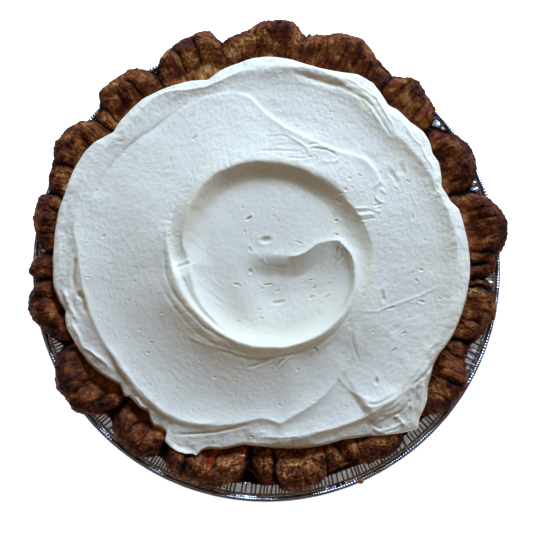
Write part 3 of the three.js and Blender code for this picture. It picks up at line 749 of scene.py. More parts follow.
# Short marks in the cream: points, half width, height (below zero for a groove)
creamMarks = [
    ([(-6.6, 0.9), (-0.6, -1.7), (7.1, -2.9), (13.9, -2.5), (17.9, -0.3)], 0.8, -0.1),
    ([(12.1, 64.4), (16.8, 61.6), (21, 58.4), (21.7, 54.1)], 0.7, 0.43),
    ([(22.1, 57.9), (26.1, 58.2), (30.1, 57.5), (34.1, 55.8), (37.4, 53.9)], 0.5, -0.62),
    ([(37.8, 53.1), (35.4, 51.2), (31.4, 50.9), (26.7, 51.5)], 0.6, 0.34),
    ([(-0.6, 64.4), (7.4, 64.7), (12.8, 63.7)], 0.5, -0.22),
    ([(-6, 56.6), (6.1, 56.9), (12.7, 56.5), (19.4, 56.2)], 0.5, -0.31),
    ([(2, 59.8), (11, 60.4), (19, 59.6)], 0.5, -0.15),
    ([(11, 53), (16.1, 52.8), (20.7, 52.4)], 0.5, -0.37),
    ([(21.4, 60.3), (24.8, 60.6), (28.1, 60.4)], 0.5, -0.37),
    ([(54.7, 37.4), (57.4, 40.1), (59.4, 41.4)], 0.7, 0.43),
    ([(58, 37.4), (62, 34)], 0.7, 0.43),
    ([(55.3, 33.3), (58, 30.6), (60.6, 29.9)], 0.7, 0.37),
    ([(53.9, 27.9), (59.3, 29.3)], 0.5, -0.43),
    ([(54.6, 25.2), (58.6, 24.9)], 0.6, 0.37),
    ([(44.5, 26.4), (47.3, 26.6), (52.6, 27.2)], 0.6, 0.43),
    ([(46, 23), (48.6, 23.2), (56.5, 23.4)], 0.7, 0.5),
    ([(45.8, 24.7), (52.6, 25.3), (56, 24.6)], 0.5, -0.37),
    ([(54.7, 34), (55.9, 29.3)], 0.5, -0.43),
    ([(46, 20.6), (48.5, 20.8), (56.5, 21.7)], 0.5, -0.31),
    ([(46.5, -26.2), (56.5, -25.6), (65, -22.4), (75.7, -18.7), (85.4, -14.4), (92, -9.5)], 0.7, 0.25),
    ([(54.7, 5.6), (53, -5.2), (50.3, -13.8), (47.5, -22.4), (45.3, -29.8), (44.7, -37.3),
      (45.7, -44.7), (48, -52)], 2.4, 0.6),
    ([(43, -34), (43.6, -41), (45.2, -47), (47.8, -52.5)], 0.7, -0.25),
    ([(23.3, -44), (25.5, -45.3), (24.6, -47.4)], 0.5, -0.56),
    ([(38, 8.7), (37.4, 4.4), (35.6, 0.6)], 0.5, 0.5),
    ([(36.6, 8.3), (35.9, 4), (34.2, 0.4)], 0.6, -0.56),
    ([(39.9, 6.2), (39.5, 2.2), (37.8, -1.6)], 0.5, 0.37),
    ([(38.6, 6.8), (38.4, 2.1), (36.9, -0.9)], 0.5, -0.43),
    ([(-42.1, 16.4), (-42.9, 13.6), (-43.2, 10.5), (-42, 5)], 0.6, 0.37),
    ([(-46.4, -3.7), (-43.5, -3), (-40.4, -2.3), (-38.6, -1), (-36.2, 0.6)], 0.7, -0.35),
    ([(-47.5, -1.4), (-43.2, -1.1), (-39.6, 0.5)], 0.5, 0.15),
    ([(-10.2, -54.8), (0.2, -51.5), (2.9, -49.2)], 0.5, -0.4),
    ([(4.4, -55.5), (6.4, -52.5), (9, -49.7)], 0.5, -0.45),
    ([(5.8, -55.5), (7.8, -52.5), (10.4, -49.9)], 0.5, 0.35),
    ([(11.5, -51), (14.5, -48.5), (17, -47)], 0.45, -0.35),
    ([(-36.5, -8.1), (-31, -13), (-24.9, -17.9), (-16, -22.6)], 0.6, 0.14),
    ([(-34, -14), (-28, -19.6), (-20, -25)], 0.6, 0.12),
    ([(-33, -4), (-28, -9.6), (-21, -14.4)], 0.6, 0.1),
    ([(-74.7, 74.2), (-76.5, 71), (-78.9, 68.1)], 0.5, 0.5),
    ([(-77.2, 66.9), (-76.7, 62), (-72.2, 62.3)], 0.8, -0.2),
    ([(87.8, 45.5), (84.6, 49.9), (81.9, 53.4), (80.2, 59.1), (74.6, 64.5)], 0.6, 0.4),
    ([(80.9, 58.2), (81.6, 61.6), (81, 65.6), (76.5, 72.8)], 0.8, 0.55),
    ([(66.7, 66.6), (64.1, 72.5), (60.5, 78.8), (57.4, 84.3), (54, 89.8), (49.1, 93.3)], 0.8, 0.6),
    ([(68.3, 64.4), (63.5, 65.4), (59.7, 72.3), (55.6, 79.5), (51, 84.6), (45.9, 86.9),
      (41.1, 89.7)], 0.8, -0.5),
    ([(90.6, 34.6), (87.9, 36.4), (86.7, 39.9), (87.6, 41.4), (89.7, 39)], 0.5, -0.4),
    ([(10.6, 98.8), (19, 97.4), (28.3, 94.3), (39.5, 91.1), (47, 87.1), (53.4, 79.4),
      (58, 71.8)], 1.7, -0.9),
    ([(58.4, 83.6), (52.9, 87.9), (45.3, 93.6), (38, 97.2), (31.4, 99.9)], 0.7, 0.45),
    ([(78.8, 59.4), (73.8, 66.8), (68.8, 74.6), (66, 78.5)], 0.6, 0.35),
    ([(-2.3, 101.1), (-13.6, 99.7), (-22, 95.7), (-31.1, 91.4), (-39.9, 89.8),
      (-49.6, 89.1), (-58.5, 86), (-65.7, 78.1), (-72.5, 71.9)], 0.7, 0.4),
    ([(-42.2, 92.2), (-50.2, 90.2), (-60.3, 86.6), (-69.2, 78.8)], 0.5, -0.3),
    ([(-97.1, -15.6), (-94.4, -17.9), (-93.1, -21.9), (-92.2, -28.1)], 1.5, -0.8),
    ([(-99.5, -30), (-96.2, -37.2), (-92.7, -44.2), (-87.2, -47.6), (-82.6, -51.1),
      (-77.4, -56.4)], 0.9, 0.6),
    ([(-80.8, -45.6), (-76.6, -53.5), (-72.2, -60.1), (-65.4, -66)], 0.8, -0.5),
    ([(-66.5, -68.4), (-63.9, -73.3), (-61.6, -74.2), (-58.6, -74.7)], 0.8, 0.7),
    ([(-47.9, -88.1), (-43.8, -88), (-36.4, -87.5), (-27.5, -87), (-20.1, -85.5),
      (-12.7, -83.7), (-6.8, -81.9)], 0.7, -0.5),
    ([(-46.1, -93.4), (-39.4, -94.6), (-34.5, -96.6)], 1.1, -0.35),
    ([(66.5, -66.8), (62, -69.5), (58.5, -71.5), (53.9, -72.8), (49, -72.6)], 0.8, -0.8),
    ([(71.2, -64), (75.8, -61.5), (79.8, -58), (84.4, -52.5), (88, -46)], 0.8, -0.7),
    ([(53.5, -84), (56.8, -86), (64, -84.6), (70.8, -80.5)], 0.7, 0.5),
    ([(56.3, -78.2), (62.2, -77.4), (67.3, -75.1), (70.6, -69.5), (71, -65.7)], 1, 0.6),
    ([(59.1, -75.2), (64.2, -71.9), (70, -66.2)], 0.7, -0.5),
    ([(71.3, -66), (70.9, -70.5), (70.2, -73.5), (66.1, -77), (61, -79)], 0.7, -0.5),
    ([(63.5, -78.6), (66.5, -79.1), (68.5, -82), (70.4, -84.5)], 0.7, 0.62),
    ([(53.2, -83.2), (54.4, -85.2), (57.6, -86.6), (61.6, -87.2), (65, -86)], 0.7, 0.68),
    ([(53.6, -83), (56.4, -80.6), (60, -79.8)], 0.6, 0.43),
    ([(76, -62), (75.4, -70), (74.6, -80)], 0.7, -0.62),
    ([(79.5, -60), (78, -70), (77, -80)], 0.8, 0.9),
    ([(82.6, -57), (80.6, -66), (79.4, -75)], 0.7, -0.5),
    ([(84.5, -59), (82.8, -66), (81, -74)], 0.8, 0.7),
    ([(35.4, -56), (38, -61), (42, -65.5), (48, -69.5), (55, -71)], 1.2, 0.4),
    ([(-97, 2), (-99, -8), (-97.5, -16)], 1.2, -0.9),
    ([(-104, -14), (-100, -24), (-95, -32)], 1.2, 0.9),
]

# Air holes and dimples: x, y, half length, half width, turn, depth
creamPits = [
    (-0.3, 11.1, 2.5, 2, 60, 1.5), (-9.3, 22.3, 1.3, 1, 30, 1.8), (-12.4, 27.9, 1.4, 0.5, 45, 0.9),
    (-11.2, 15.4, 1.2, 0.6, 60, 1), (-5.3, 15.7, 0.6, 0.5, 0, 0.6), (-8.4, 6.1, 1.5, 0.6, -60, 1.1),
    (-8.4, -5, 1.7, 1, -15, 1.1), (-15.4, -11.8, 1.6, 0.9, -30, 0.8), (-13.6, -12.8, 0.7, 0.5, 0, 0.9),
    (-3.8, -24.7, 1.5, 0.5, -5, 0.8), (-14.4, -30.8, 1.4, 0.6, -15, 0.9), (-2.5, -29, 1.5, 0.6, 0, 0.8),
    (-41.7, -10.3, 0.8, 0.6, 80, 0.9), (-27.1, 5.2, 0.6, 0.5, 0, 0.5), (0.7, -11.5, 2.7, 0.55, 0, 1.1),
    (-2.3, -13.6, 0.7, 0.6, 0, 0.9), (5.6, -14.6, 1.1, 0.6, 20, 0.9), (5.9, -20.7, 2.4, 1.4, 10, 1.1),
    (22.5, -9, 1, 0.6, 30, 0.9), (24.9, -12.7, 2.1, 0.5, 50, 0.9), (23.1, -18.2, 1.5, 0.6, 20, 1),
    (34.4, -8.6, 1, 0.5, -20, 0.9), (32.5, -11, 1.8, 0.5, 45, 0.6), (31, -17.8, 1.9, 0.5, 40, 0.8),
    (27.9, -21.3, 1.9, 0.45, 40, 0.5), (26.7, -26.5, 2.2, 1.5, 0, 0.3), (6, 21, 0.7, 0.6, 0, 0.9),
    (3.8, 23.4, 1.9, 0.4, 5, 0.5), (11.5, 8.3, 0.7, 0.5, 0, 0.5), (16.2, 9.7, 1.7, 0.7, -15, 0.7),
    (35.8, 21, 1.2, 0.65, -25, 1.2), (36, 13.7, 1.5, 0.55, -45, 1.1), (50.2, 5.5, 0.6, 0.5, 0, 0.6),
    (49.2, -14.2, 0.7, 0.5, 0, 0.6), (48.9, -17.8, 1.2, 0.6, -70, 0.8), (54.5, -15.2, 0.7, 0.5, 0, 0.6),
    (14.5, 4.8, 1.1, 0.45, 0, 0.6), (42.8, 42.2, 1.7, 0.6, 0, 1.1), (47.8, 43.9, 1.5, 0.7, 5, 0.8),
    (40.4, 36.4, 0.9, 0.7, 0, 1.2), (38.4, 34.4, 0.9, 0.5, 0, 0.7), (40.8, 49.8, 1.1, 0.45, 25, 0.6),
    (1.4, 76.7, 0.8, 0.6, 0, 0.9), (15.5, 70.2, 0.9, 0.45, 0, 0.7), (26.3, 77.8, 1.4, 0.5, 0, 0.5),
    (33.7, 78.1, 1.4, 0.5, 0, 0.5), (33.6, 74.1, 0.7, 0.55, 0, 0.9), (28.6, 68.1, 0.6, 0.5, 0, 0.9),
    (24.2, 74, 1.3, 0.45, 0, 0.5), (26.9, 66.1, 1.1, 0.4, 20, 0.5), (58.5, 45.6, 0.8, 0.6, 0, 0.9),
    (36.7, 30.7, 1.9, 0.5, -40, 0.8), (22.4, 53.4, 1, 0.6, 20, 1.2), (25.4, 53.4, 0.8, 0.55, 0, 1),
    (69.6, 47.8, 4.4, 1.7, -56, 0.9), (65.4, 43.4, 4, 1.5, -62, 1), (72.6, 41.2, 1.7, 0.6, -60, 0.8),
    (74.6, 23.2, 2, 0.7, -70, 0.9), (-39.4, 75.5, 1.6, 0.5, 35, 0.6), (-37.3, 63.9, 2.1, 0.6, 30, 0.9),
    (-31.1, 71.3, 1.4, 0.45, 35, 0.6), (-29.1, 74.4, 1.4, 0.45, 35, 0.6),
    (-33, 67.5, 1.6, 0.4, 35, 0.6), (-49.5, 52.3, 1.1, 0.5, 40, 0.7), (-62.9, 50.2, 1.3, 0.5, 45, 0.6),
    (-67.6, 52.3, 0.7, 0.5, 45, 0.6), (-87.4, 36.6, 0.8, 0.7, 0, 1.1), (-83.4, 12.8, 1.3, 0.8, 80, 0.9),
    (-76.3, 17.4, 0.7, 0.5, 60, 0.6), (-91.5, 9.1, 0.7, 0.6, 0, 0.9), (-73.3, 56.5, 0.8, 0.5, 30, 0.7),
    (-37.1, 39.8, 1.1, 0.55, 30, 0.8), (-70.3, -20.3, 0.7, 0.6, 0, 0.8),
    (-67.2, -10.6, 0.9, 0.7, 0, 0.6), (-58.3, -41.6, 0.9, 0.5, 0, 0.6), (-60.2, -46.6, 0.8, 0.7, 0, 1),
    (-33.8, -50.6, 0.7, 0.6, 0, 0.7), (-26.4, -59.2, 1.2, 0.5, 0, 0.7),
    (-45.4, -64.8, 0.7, 0.5, -30, 0.7), (-59.1, -62.7, 0.8, 0.5, -40, 0.6),
    (-15.8, -67.9, 1, 0.5, -15, 0.6), (-90.8, -8.5, 0.8, 0.7, 0, 0.7), (-7.8, -88.8, 1.1, 0.5, 0, 0.6),
    (59.3, -18.3, 2.3, 1.4, 100, 1.5), (63.5, -24, 1.6, 0.7, 15, 1), (79, -20.8, 1.3, 0.8, 0, 1),
    (88.1, -19.4, 0.7, 0.6, 0, 0.9), (79, -4.6, 1.2, 0.9, 60, 0.9), (54.3, -36.2, 0.9, 0.5, 20, 1),
    (64.8, -45.3, 1.2, 0.6, 30, 1.1), (55.6, -61.1, 1.6, 1.2, 30, 1.7), (69.7, -36.8, 1.3, 0.8, 0, 0.7),
    (73.3, -43.7, 0.8, 0.5, 0, 0.7), (15.9, -55.3, 1, 0.6, 80, 1), (6.4, -73.2, 1.6, 0.5, -10, 0.7),
    (40.1, -73.7, 1, 0.5, 0, 0.6), (22.7, -80, 0.9, 0.5, 0, 0.6), (72, -71.5, 0.9, 0.6, 90, 1.1),
    (72.1, -76.2, 2.3, 0.6, 90, 1.2), (-94.5, -18, 3, 1.6, 100, 1), (60, -39, 2.6, 1.6, 20, 0.3),
    (66, -34, 2.4, 1.8, -10, 0.3), (62, -50, 2.2, 1.6, 0, 0.25), (68, -52, 2.6, 1.5, 30, 0.3),
]

# The swirl: crest of its upper rim and of its lower rim, which starts outside the upper one on
# the left and ends at the curl on the right; directions may pass 360
upperCrest = softCurve([
    (-45, 50), (-20, 50.5), (-12, 51), (-3, 52.3), (5, 53.1), (12, 53.3), (22, 52.7), (38, 51.2),
    (65, 50.6), (90, 51.3), (111, 52.4), (120, 52.4), (130, 51.6), (144, 48.9), (149, 47.9),
    (158, 46.3), (164, 45), (169, 43.7), (175, 41.6), (180, 40.3), (188, 40),
], 1.5)
lowerCrest = softCurve([
    (135, 57), (150, 55.4), (167, 52), (178, 49.4), (190, 47.6), (202, 46), (214, 44.6), (226, 43.5),
    (240, 43.4), (252, 43.3), (265, 43.2), (275, 43.4), (290, 44.2), (305, 45), (320, 45.6),
    (334, 45.8), (343, 45.8), (350, 45), (358, 43.8), (365, 42.2), (370, 40.4), (377, 37.8), (384, 35),
], 1)
# Height of each of those crests
upperTop = softCurve([
    (-45, 43.8), (-25, 44.5), (0, 46), (20, 47.6), (45, 48.8), (90, 50), (130, 51), (150, 50.8),
    (160, 49.8), (170, 48.2), (180, 47), (190, 46),
], 3)
lowerTop = softCurve([
    (135, 46.4), (150, 48.8), (165, 50.8), (190, 51.8), (225, 51.8), (270, 50.6), (300, 49.8),
    (320, 48.8), (345, 47.8), (362, 46.2), (377, 44.6), (384, 44),
], 3)
# How far the dish's floor has wound down, as a share of the curl's whole step
windDown = softCurve([
    (0, 1), (40, 1), (100, 0.15), (180, 0.2), (210, 0.3), (240, 0.4), (270, 0.55), (300, 0.75),
    (330, 1),
], 4, closed=True)
# Where the dish's floor ends against the lower rim, and where the rolled part of that rim starts
dishEdge = softCurve([
    (176, 38.8), (186, 40.2), (195, 40.3), (210, 40.2), (225, 40), (240, 40.8), (255, 40.8), (270, 41),
    (285, 42), (300, 43), (315, 43.8), (330, 44.4), (350, 44.2), (360, 43.8), (366, 43), (373, 41.4),
    (384, 38),
], 1.2)
rollStart = softCurve([
    (176, 45), (186, 45.2), (195, 43.6), (210, 42.2), (225, 41.4), (240, 40.9), (255, 40.6),
    (270, 40.8), (285, 41.6), (300, 42.4), (315, 43), (330, 43.4), (350, 42.6), (384, 33),
], 1.2)
# Level outside the upper rim's line, and how much of it is left inside where that rim has ended
outerLevel = softCurve([
    (0, 43.4), (30, 44.4), (45, 44.5), (60, 44.2), (90, 43.8), (120, 44.2), (150, 45), (180, 45),
    (195, 43.7), (210, 42.2), (225, 41.4), (270, 41), (300, 41.5), (330, 42.5),
], 4, closed=True)
rampShare = softCurve([
    (0, 0.3), (10, 0.12), (20, 0), (188, 0), (198, 1), (315, 1), (330, 0.8), (350, 0.45),
], 3, closed=True)
# The cream's edge, seen from above, round the swirl's centre
creamReach = softCurve([
    (0, 103.9), (5, 103.9), (10, 103.3), (16, 102.8), (19, 100), (24, 98.5), (27, 101), (31, 103.5),
    (34, 103.3), (37, 105.5), (40.5, 106.6), (45, 105.3), (50.3, 105.8), (53, 104.7), (56, 107),
    (60, 110), (65, 110.7), (69, 108.6), (71.5, 107.6), (76, 106.8), (80, 107.6), (85, 109.3),
    (90, 110.2), (94, 109.8), (98, 108), (103.5, 106), (108, 102.6), (113, 105.5), (121, 107.7),
    (127, 109.3), (132, 108.6), (136, 108), (139.5, 106.6), (142.4, 109), (145, 111.2), (148.3, 112.6),
    (153, 112.6), (161, 111.5), (166, 112), (174, 111), (181.5, 110.8), (187, 110.6), (190, 109.5),
    (193, 107.2), (195, 108.1), (198, 108), (202, 106.8), (208, 105.8), (212, 103.6), (216, 100.6),
    (219, 98), (222.5, 99.8), (224, 98), (228, 98.6), (231, 97.4), (233.3, 100.5), (235, 101.4),
    (236.4, 100.2), (239, 100.2), (239.8, 104.3), (241.4, 105.2), (244.3, 105.8), (246.8, 104.9),
    (248.3, 103.6), (249.6, 104.2), (250.3, 100.9), (252.2, 99), (255.5, 97.8), (258.9, 95.3),
    (262.4, 92.9), (267, 93), (274, 94.2), (283, 96), (293, 97), (300, 101.2), (306, 107), (310, 111.2),
    (312, 113.2), (314, 110), (318, 107.3), (322, 102.9), (328, 99.2), (332, 98.8), (338, 100.9),
    (343, 102), (350, 103.4),
], 0.45, closed=True)
# How far in from the edge the cream's side slopes
shoulderWidth = softCurve([
    (0, 5.5), (40, 6), (60, 6), (75, 5), (90, 7), (140, 8), (160, 11), (175, 13), (195, 12), (210, 9),
    (226, 6.5), (240, 9.8), (255, 11.5), (265, 8), (270, 6), (278, 5.6), (288, 5.8), (300, 5.4),
    (315, 5.8), (340, 6.2),
], 3, closed=True)

# Painted shade: an ivory tint where deep shade falls along the rims and outer lips: strength,
# radius, width, then from and to which direction, and over how many degrees it comes and goes
ivoryShadeBands = [
    (0.4, 36, 9, 190, 350, 50, 40), (0.3, 91, 5, 300, 440, 30, 30), (0.35, 51, 4, 325, 400, 20, 30),
    (0.65, 47, 6, 10, 175, 30, 30), (0.45, 51, 7, 185, 300, 20, 40),
]


def nearLine(x, y, points, margin):
    # Distance to a run of short lines and share of the way along, for the points near enough to it
    line = np.array(points, float)
    near = ((x > line[:, 0].min() - margin) & (x < line[:, 0].max() + margin)
            & (y > line[:, 1].min() - margin) & (y < line[:, 1].max() + margin))
    px, py = x[near], y[near]
    best = np.full(px.shape, np.inf)
    along = np.zeros(px.shape)
    spans = np.hypot(*np.diff(line, axis=0).T)
    starts = np.concatenate([[0], np.cumsum(spans)])
    for start, end, span, before in zip(line[:-1], line[1:], spans, starts):
        step = (end - start) / span
        share = np.clip((px - start[0]) * step[0] + (py - start[1]) * step[1], 0, span)
        distance = np.hypot(px - start[0] - step[0] * share, py - start[1] - step[1] * share)
        closer = distance < best
        best = np.where(closer, distance, best)
        along = np.where(closer, (before + share) / starts[-1], along)
    return near, best, along


def scatteredPits():
    # Small pricks and dashes drawn out along the spatula's strokes, outside the dish
    chance = np.random.default_rng(cream["prickSeed"])
    centreX, centreY = cream["swirlCentre"]
    pits = []
    for _ in range(cream["pricks"]):
        radius, direction = 100 * math.sqrt(chance.uniform(0.02, 0.95)), chance.uniform(0, 360)
        size = 0.45 + 0.5 * chance.random() ** 2
        turn = direction + 90 + chance.uniform(-25, 25)
        if radius < 50:
            continue
        angle = math.radians(direction)
        pits.append((centreX + radius * math.cos(angle), centreY + radius * math.sin(angle),
                     size * chance.uniform(1, 1.9), size, turn, 0.25 + 0.5 * size * chance.random()))
    return pits


def markRelief(x, y):
    # Ridges, cracks and air holes; the second result is how deep in a groove or air hole each point
    # lies, which sets the painted ivory shade there
    total, paintedShade = np.zeros_like(x), np.zeros_like(x)
    wanderX = cream["wander"] * gradientNoise(x / 4, y / 4, 0, 21)
    wanderY = cream["wander"] * gradientNoise(x / 4, y / 4, 5.5, 22)
    for points, width, height in creamMarks:
        near, distance, along = nearLine(x + wanderX, y + wanderY, points, 4 * width)
        taper = smoothStep(along / 0.2) * smoothStep((1 - along) / 0.25)
        mark = height * taper * bell(distance, width)
        total[near] += mark
        if height < 0:
            total[near] -= cream["grooveLip"] * height * taper * bell(distance - 2 * width, width)
            # Painted shade: the groove is tinted ivory as deep as it is
            paintedShade[near] = np.maximum(paintedShade[near], -mark)
    for pitX, pitY, length, width, turn, depth in creamPits + scatteredPits():
        near = (np.abs(x - pitX) < 2 * length) & (np.abs(y - pitY) < 2 * length)
        dx, dy = x[near] + 0.5 * wanderX[near] - pitX, y[near] + 0.5 * wanderY[near] - pitY
        cosine, sine = math.cos(math.radians(turn)), math.sin(math.radians(turn))
        share = np.hypot((dx * cosine + dy * sine) / length, (dy * cosine - dx * sine) / width)
        # Holes aren't round: each bulges its own way
        share = share * (1 + 0.35 * np.sin(2 * np.arctan2(dy, dx) + pitX * 5))
        inside = 1 - smoothStep((share - 0.25) / 0.85)
        lip = bell(share - 1.4, 0.35)
        total[near] += depth * (cream["holeLip"] * lip - cream["holeDepth"] * inside)
        # Painted shade: the air hole is tinted ivory by its depth
        paintedShade[near] = np.maximum(paintedShade[near], 0.8 * depth * inside)
    return total, paintedShade


def strokeRelief(radius, direction):
    # Height that the spatula's crests and steps add to the spread
    total = np.zeros_like(radius)
    for stroke in creamStrokes.values():
        first, last = stroke["path"][0][0], stroke["path"][-1][0]
        distance = radius - softCurve(stroke["path"], 1.0)(direction)
        fade = fadeBetween(direction, first, last, *stroke["fade"])
        width = np.where(distance < 0, stroke["inner"], stroke["outer"])
        softened = np.sqrt(distance ** 2 + stroke["round"] ** 2) - stroke["round"]
        relief = stroke["rise"] * np.exp(-softened / width)
        if "drop" in stroke:
            past = np.clip(distance, 0, None)
            step = (1 - np.exp(-past / stroke["slope"])) * np.exp(-past / stroke["reach"])
            relief = relief - stroke["drop"] * step
        if abs(stroke["rise"]) < 1:
            # Thin folds come and go along their length
            turned = turnedInto(direction, first, last)
            fade = fade * (1 + 0.7 * gradientNoise(turned / 7, 0, radius / 9, 51))
        total = total + fade * relief
    return total


def curlLine(x):
    # Crest of the curl where the spatula was lifted, as y for each x: a low wave that climbs away
    # to the right
    rises = ((-1.4, 5, 7), (2.2, 14, 8), (4.7, 19, 9), (1.4, 26, 9))
    return 4.0 + sum(height * smoothStep((x - start) / length) for height, start, length in rises)


def curlShape(x, y, radius, direction):
    # The curl's raised crest, and how far the floor lies below it on its near side: a soft swell
    # at the swirl's centre that sharpens into a lip towards the curl's tip
    across = y - curlLine(x)
    below = np.clip(-across, 0, None)
    lip = smoothStep((x - 8) / 6)
    # How far the dish has fallen away below the crest: at the centre, by the lip, near the tip
    soft = 0.72 * smoothStep(below / 12) + 0.28 * smoothStep((below - 3) / 22)
    sharp = 0.8 * (1 - (1 - np.clip(below / 10.5, 0, 1)) ** 1.3) + 0.2 * smoothStep(below / 22)
    long = 1 - (1 - np.clip(below / 26, 0, 1)) ** 1.8
    fall = soft + (sharp - soft) * lip + (long - sharp) * smoothStep((x - 17) / 14)
    starts, tip = smoothStep((x + 16) / 18), 36
    crest = (0.5 + lip) * starts * np.where(x > tip, bell(x - tip, 3.5), 1)
    beyond = np.clip(np.sqrt(across ** 2 + 0.16) - 0.4, 0, None)
    far = 0.55 * np.exp(-beyond / 2) + 0.45 * np.exp(-beyond / 9)
    nearCentre = 1 - smoothStep((radius - 14) / 20)
    share = starts * nearCentre + windDown(direction) * (1 - nearCentre)
    sink = (cream["curlDrop"] - 0.2 * lip) * fall * share
    return crest * np.where(across > 0, far, 1 - fall), sink


def upperRim(radius, direction, floor, sink, wobble):
    # Steep inside, with a long soft slope outside
    level = outerLevel(direction)
    fade = fadeBetween(direction, -52, 197, 14, 9)
    rolled = fadeBetween(direction, 32, 146, 26, 20)
    crest = upperCrest(direction) + wobble + 0.3 * rolled
    top = level + (upperTop(direction) - level) * fade
    within = floor + (level - floor) * rampShare(direction)
    width = 9 + 5 * smoothStep((60 - turnedInto(direction, -90, 270)) / 60)
    width = width + 3 * fadeBetween(direction, 100, 200, 50, 10)
    steepness = 1.85
    climb = np.clip(1 - (crest - radius) / width, 0, 1)
    wall = within + (top - within) * climb ** steepness
    # Outside, a share of the fall comes at once and the rest over the whole slope
    past = np.clip(radius - crest, 0, None)
    sudden = 0.12 + 0.26 * fadeBetween(direction, 40, 200, 50, 20)
    falling = sudden * np.exp(-past / 5) + (1 - sudden) * (1 - smoothStep(past / 44))
    slope = level + (top - level) * falling
    # The rim's edge rolls over, so light creeps onto it over a few millimetres
    inner = np.where(radius < crest, wall, top + (top - within) * steepness / width * past)
    softness = 0.2 + 2.2 * rolled
    upper = -softMax(-inner, -slope, softness) + 0.35 * softness * bell(radius - crest, 7)
    return upper - np.where(radius < crest, sink * (1 - smoothStep((radius - 24) / 10)), 0)


def lowerRim(radius, direction, floor, sink, wobble, upper):
    # The rolled rim across the front and left of the dish, with a foot that eases into the floor
    ramp = rampShare(direction)
    crest, top = lowerCrest(direction) + 0.6 * wobble, lowerTop(direction)
    roll = rollStart(direction)
    foot = np.exp(-np.clip(dishEdge(direction) - radius, 0, None) / 4.3)
    swell = smoothStep((radius - roll) / np.maximum(crest - roll, 1))
    low = floor - sink
    inside = low + (top - low) * (0.68 * foot + 0.32 * swell)
    tail = (1 - smoothStep((direction - 176) / 14)) * (direction < 270) * (direction > 90)
    inside = inside + (upper - inside) * tail
    # Outside, a quick fall by the crest and a slow one over its reach, farthest on the left
    farReach = 34
    nearReach = 7 + 27 * ramp - 8 * fadeBetween(direction, 275, 335, 15, 20)
    reach = np.where((direction > 100) & (direction < 275), farReach, nearReach)
    steep = 4.2 + 4.6 * fadeBetween(direction, 178, 262, 24, 30)
    quick = 0.48 + 0.2 * fadeBetween(direction, 170, 258, 16, 24)
    quick = quick + 0.2 * fadeBetween(direction, 280, 335, 15, 15)
    # On the left the rim's shoulder is rounder before it falls
    apart = np.sqrt((radius - crest) ** 2 + 2.2) - 1.48
    shoulder = 0.5 * fadeBetween(direction, 185, 250, 18, 20)
    steepFall = (1 - shoulder) * np.exp(-apart / (steep * reach / farReach))
    steepFall = steepFall + shoulder / (1 + (apart / 12) ** 2)
    falling = quick * steepFall + (1 - quick) * (1 - smoothStep(apart / reach))
    outside = upper + (softMax(top, upper, 0.8) - upper) * falling
    return np.where(radius < crest, inside, outside)


def swirlShape(x, y, radius, direction):
    # Dish, curl, rims and the slopes outside them
    turn = np.radians(direction)
    floor = cream["floor"] + 0.25 * np.sin(turn) * radius / 30
    curl, sink = curlShape(x, y, radius, direction)
    wobble = cream["rimWobble"] * gradientNoise(np.cos(turn) * 6, np.sin(turn) * 6, 2.5, 55)
    upper = upperRim(radius, direction, floor, sink, wobble)
    lower = lowerRim(radius, direction, floor, sink, wobble, upper)
    # On the right the lower rim has the near side of the curl; elsewhere it starts at the left
    onRight = np.abs(turnedInto(direction, -90, 90)) < 60
    beyond = 1.2 + 16 * smoothStep((x - 35) / 10)
    nearSide = smoothStep((curlLine(x) - y) / beyond + 0.5)
    inLower = np.where(onRight, nearSide, smoothStep((direction - 130) / 30))
    return upper + (lower - upper) * inLower + curl


def creamHeight(x, y, radius, direction):
    # Height of the cream, and its painted ivory shade; lively is how uneven the spread is
    inset = np.clip(creamReach(direction) - radius, 0, None)
    turn = np.radians(direction)
    aroundX, aroundY = np.cos(turn), np.sin(turn)
    z = swirlShape(x, y, radius, direction) + strokeRelief(radius, direction)
    lively = 0.75 + 0.6 * fadeBetween(direction, -75, 205, 40, 30) * smoothStep((radius - 44) / 12)
    swell = layeredNoise(0.9 * x - 0.44 * y, 0.9 * y + 0.44 * x, 5, 18, 3, 11)
    marks, paintedShade = markRelief(x, y)
    z = z + cream["swell"] * lively * swell + marks
    # Drag lines follow the strokes round the swirl
    grain = layeredNoise(aroundX * 9, aroundY * 9, radius / 1.7, 1.0, 2, 31, 0.7)
    z = z + cream["grain"] * grain * smoothStep((radius - 8) / 24)
    # Torn, rough places along the edge and the rims
    rough = layeredNoise(0.8 * x + 0.6 * y, 0.8 * y - 0.6 * x, 0.7, 2.2, 2, 33, 0.7)
    edgeShare = smoothStep(1 - inset / 16)
    rimPlace = np.where(direction < 170, 54, 47)
    rimShare = bell(radius - rimPlace, 6) * fadeBetween(direction, 60, 300, 30, 40)
    z = z + rough * (cream["rough"] * lively + 0.1 * edgeShare + 0.1 * rimShare)
    lumps = layeredNoise(aroundX * 14, aroundY * 14, radius / 6, 1.0, 2, 35)
    z = z + cream["edgeLumps"] * edgeShare * lumps
    # The side falls over the shoulder and rounds off at the crust
    edge = crustTop(x, y) + cream["edgeLift"]
    shoulder = np.clip(1 - inset / shoulderWidth(direction), 0, 1)
    rounding = np.clip(1 - inset / cream["edgeRound"], 0, 1)
    lift = 0.82 * np.sqrt(1 - rounding * rounding) + 0.18 * (1 - shoulder ** 1.6)
    z = edge + (np.maximum(z, edge) - edge) * lift
    # Painted shade: ivory bands where the rims and lips lie in deep shade, taken with the painted shade
    # of grooves and holes
    bandShade = sum(strength * bell(radius - at, width) * fadeBetween(direction, *span)
                for strength, at, width, *span in ivoryShadeBands)
    return z, np.clip(np.maximum(paintedShade, bandShade) / cream["fullShadeDepth"], 0, 1)


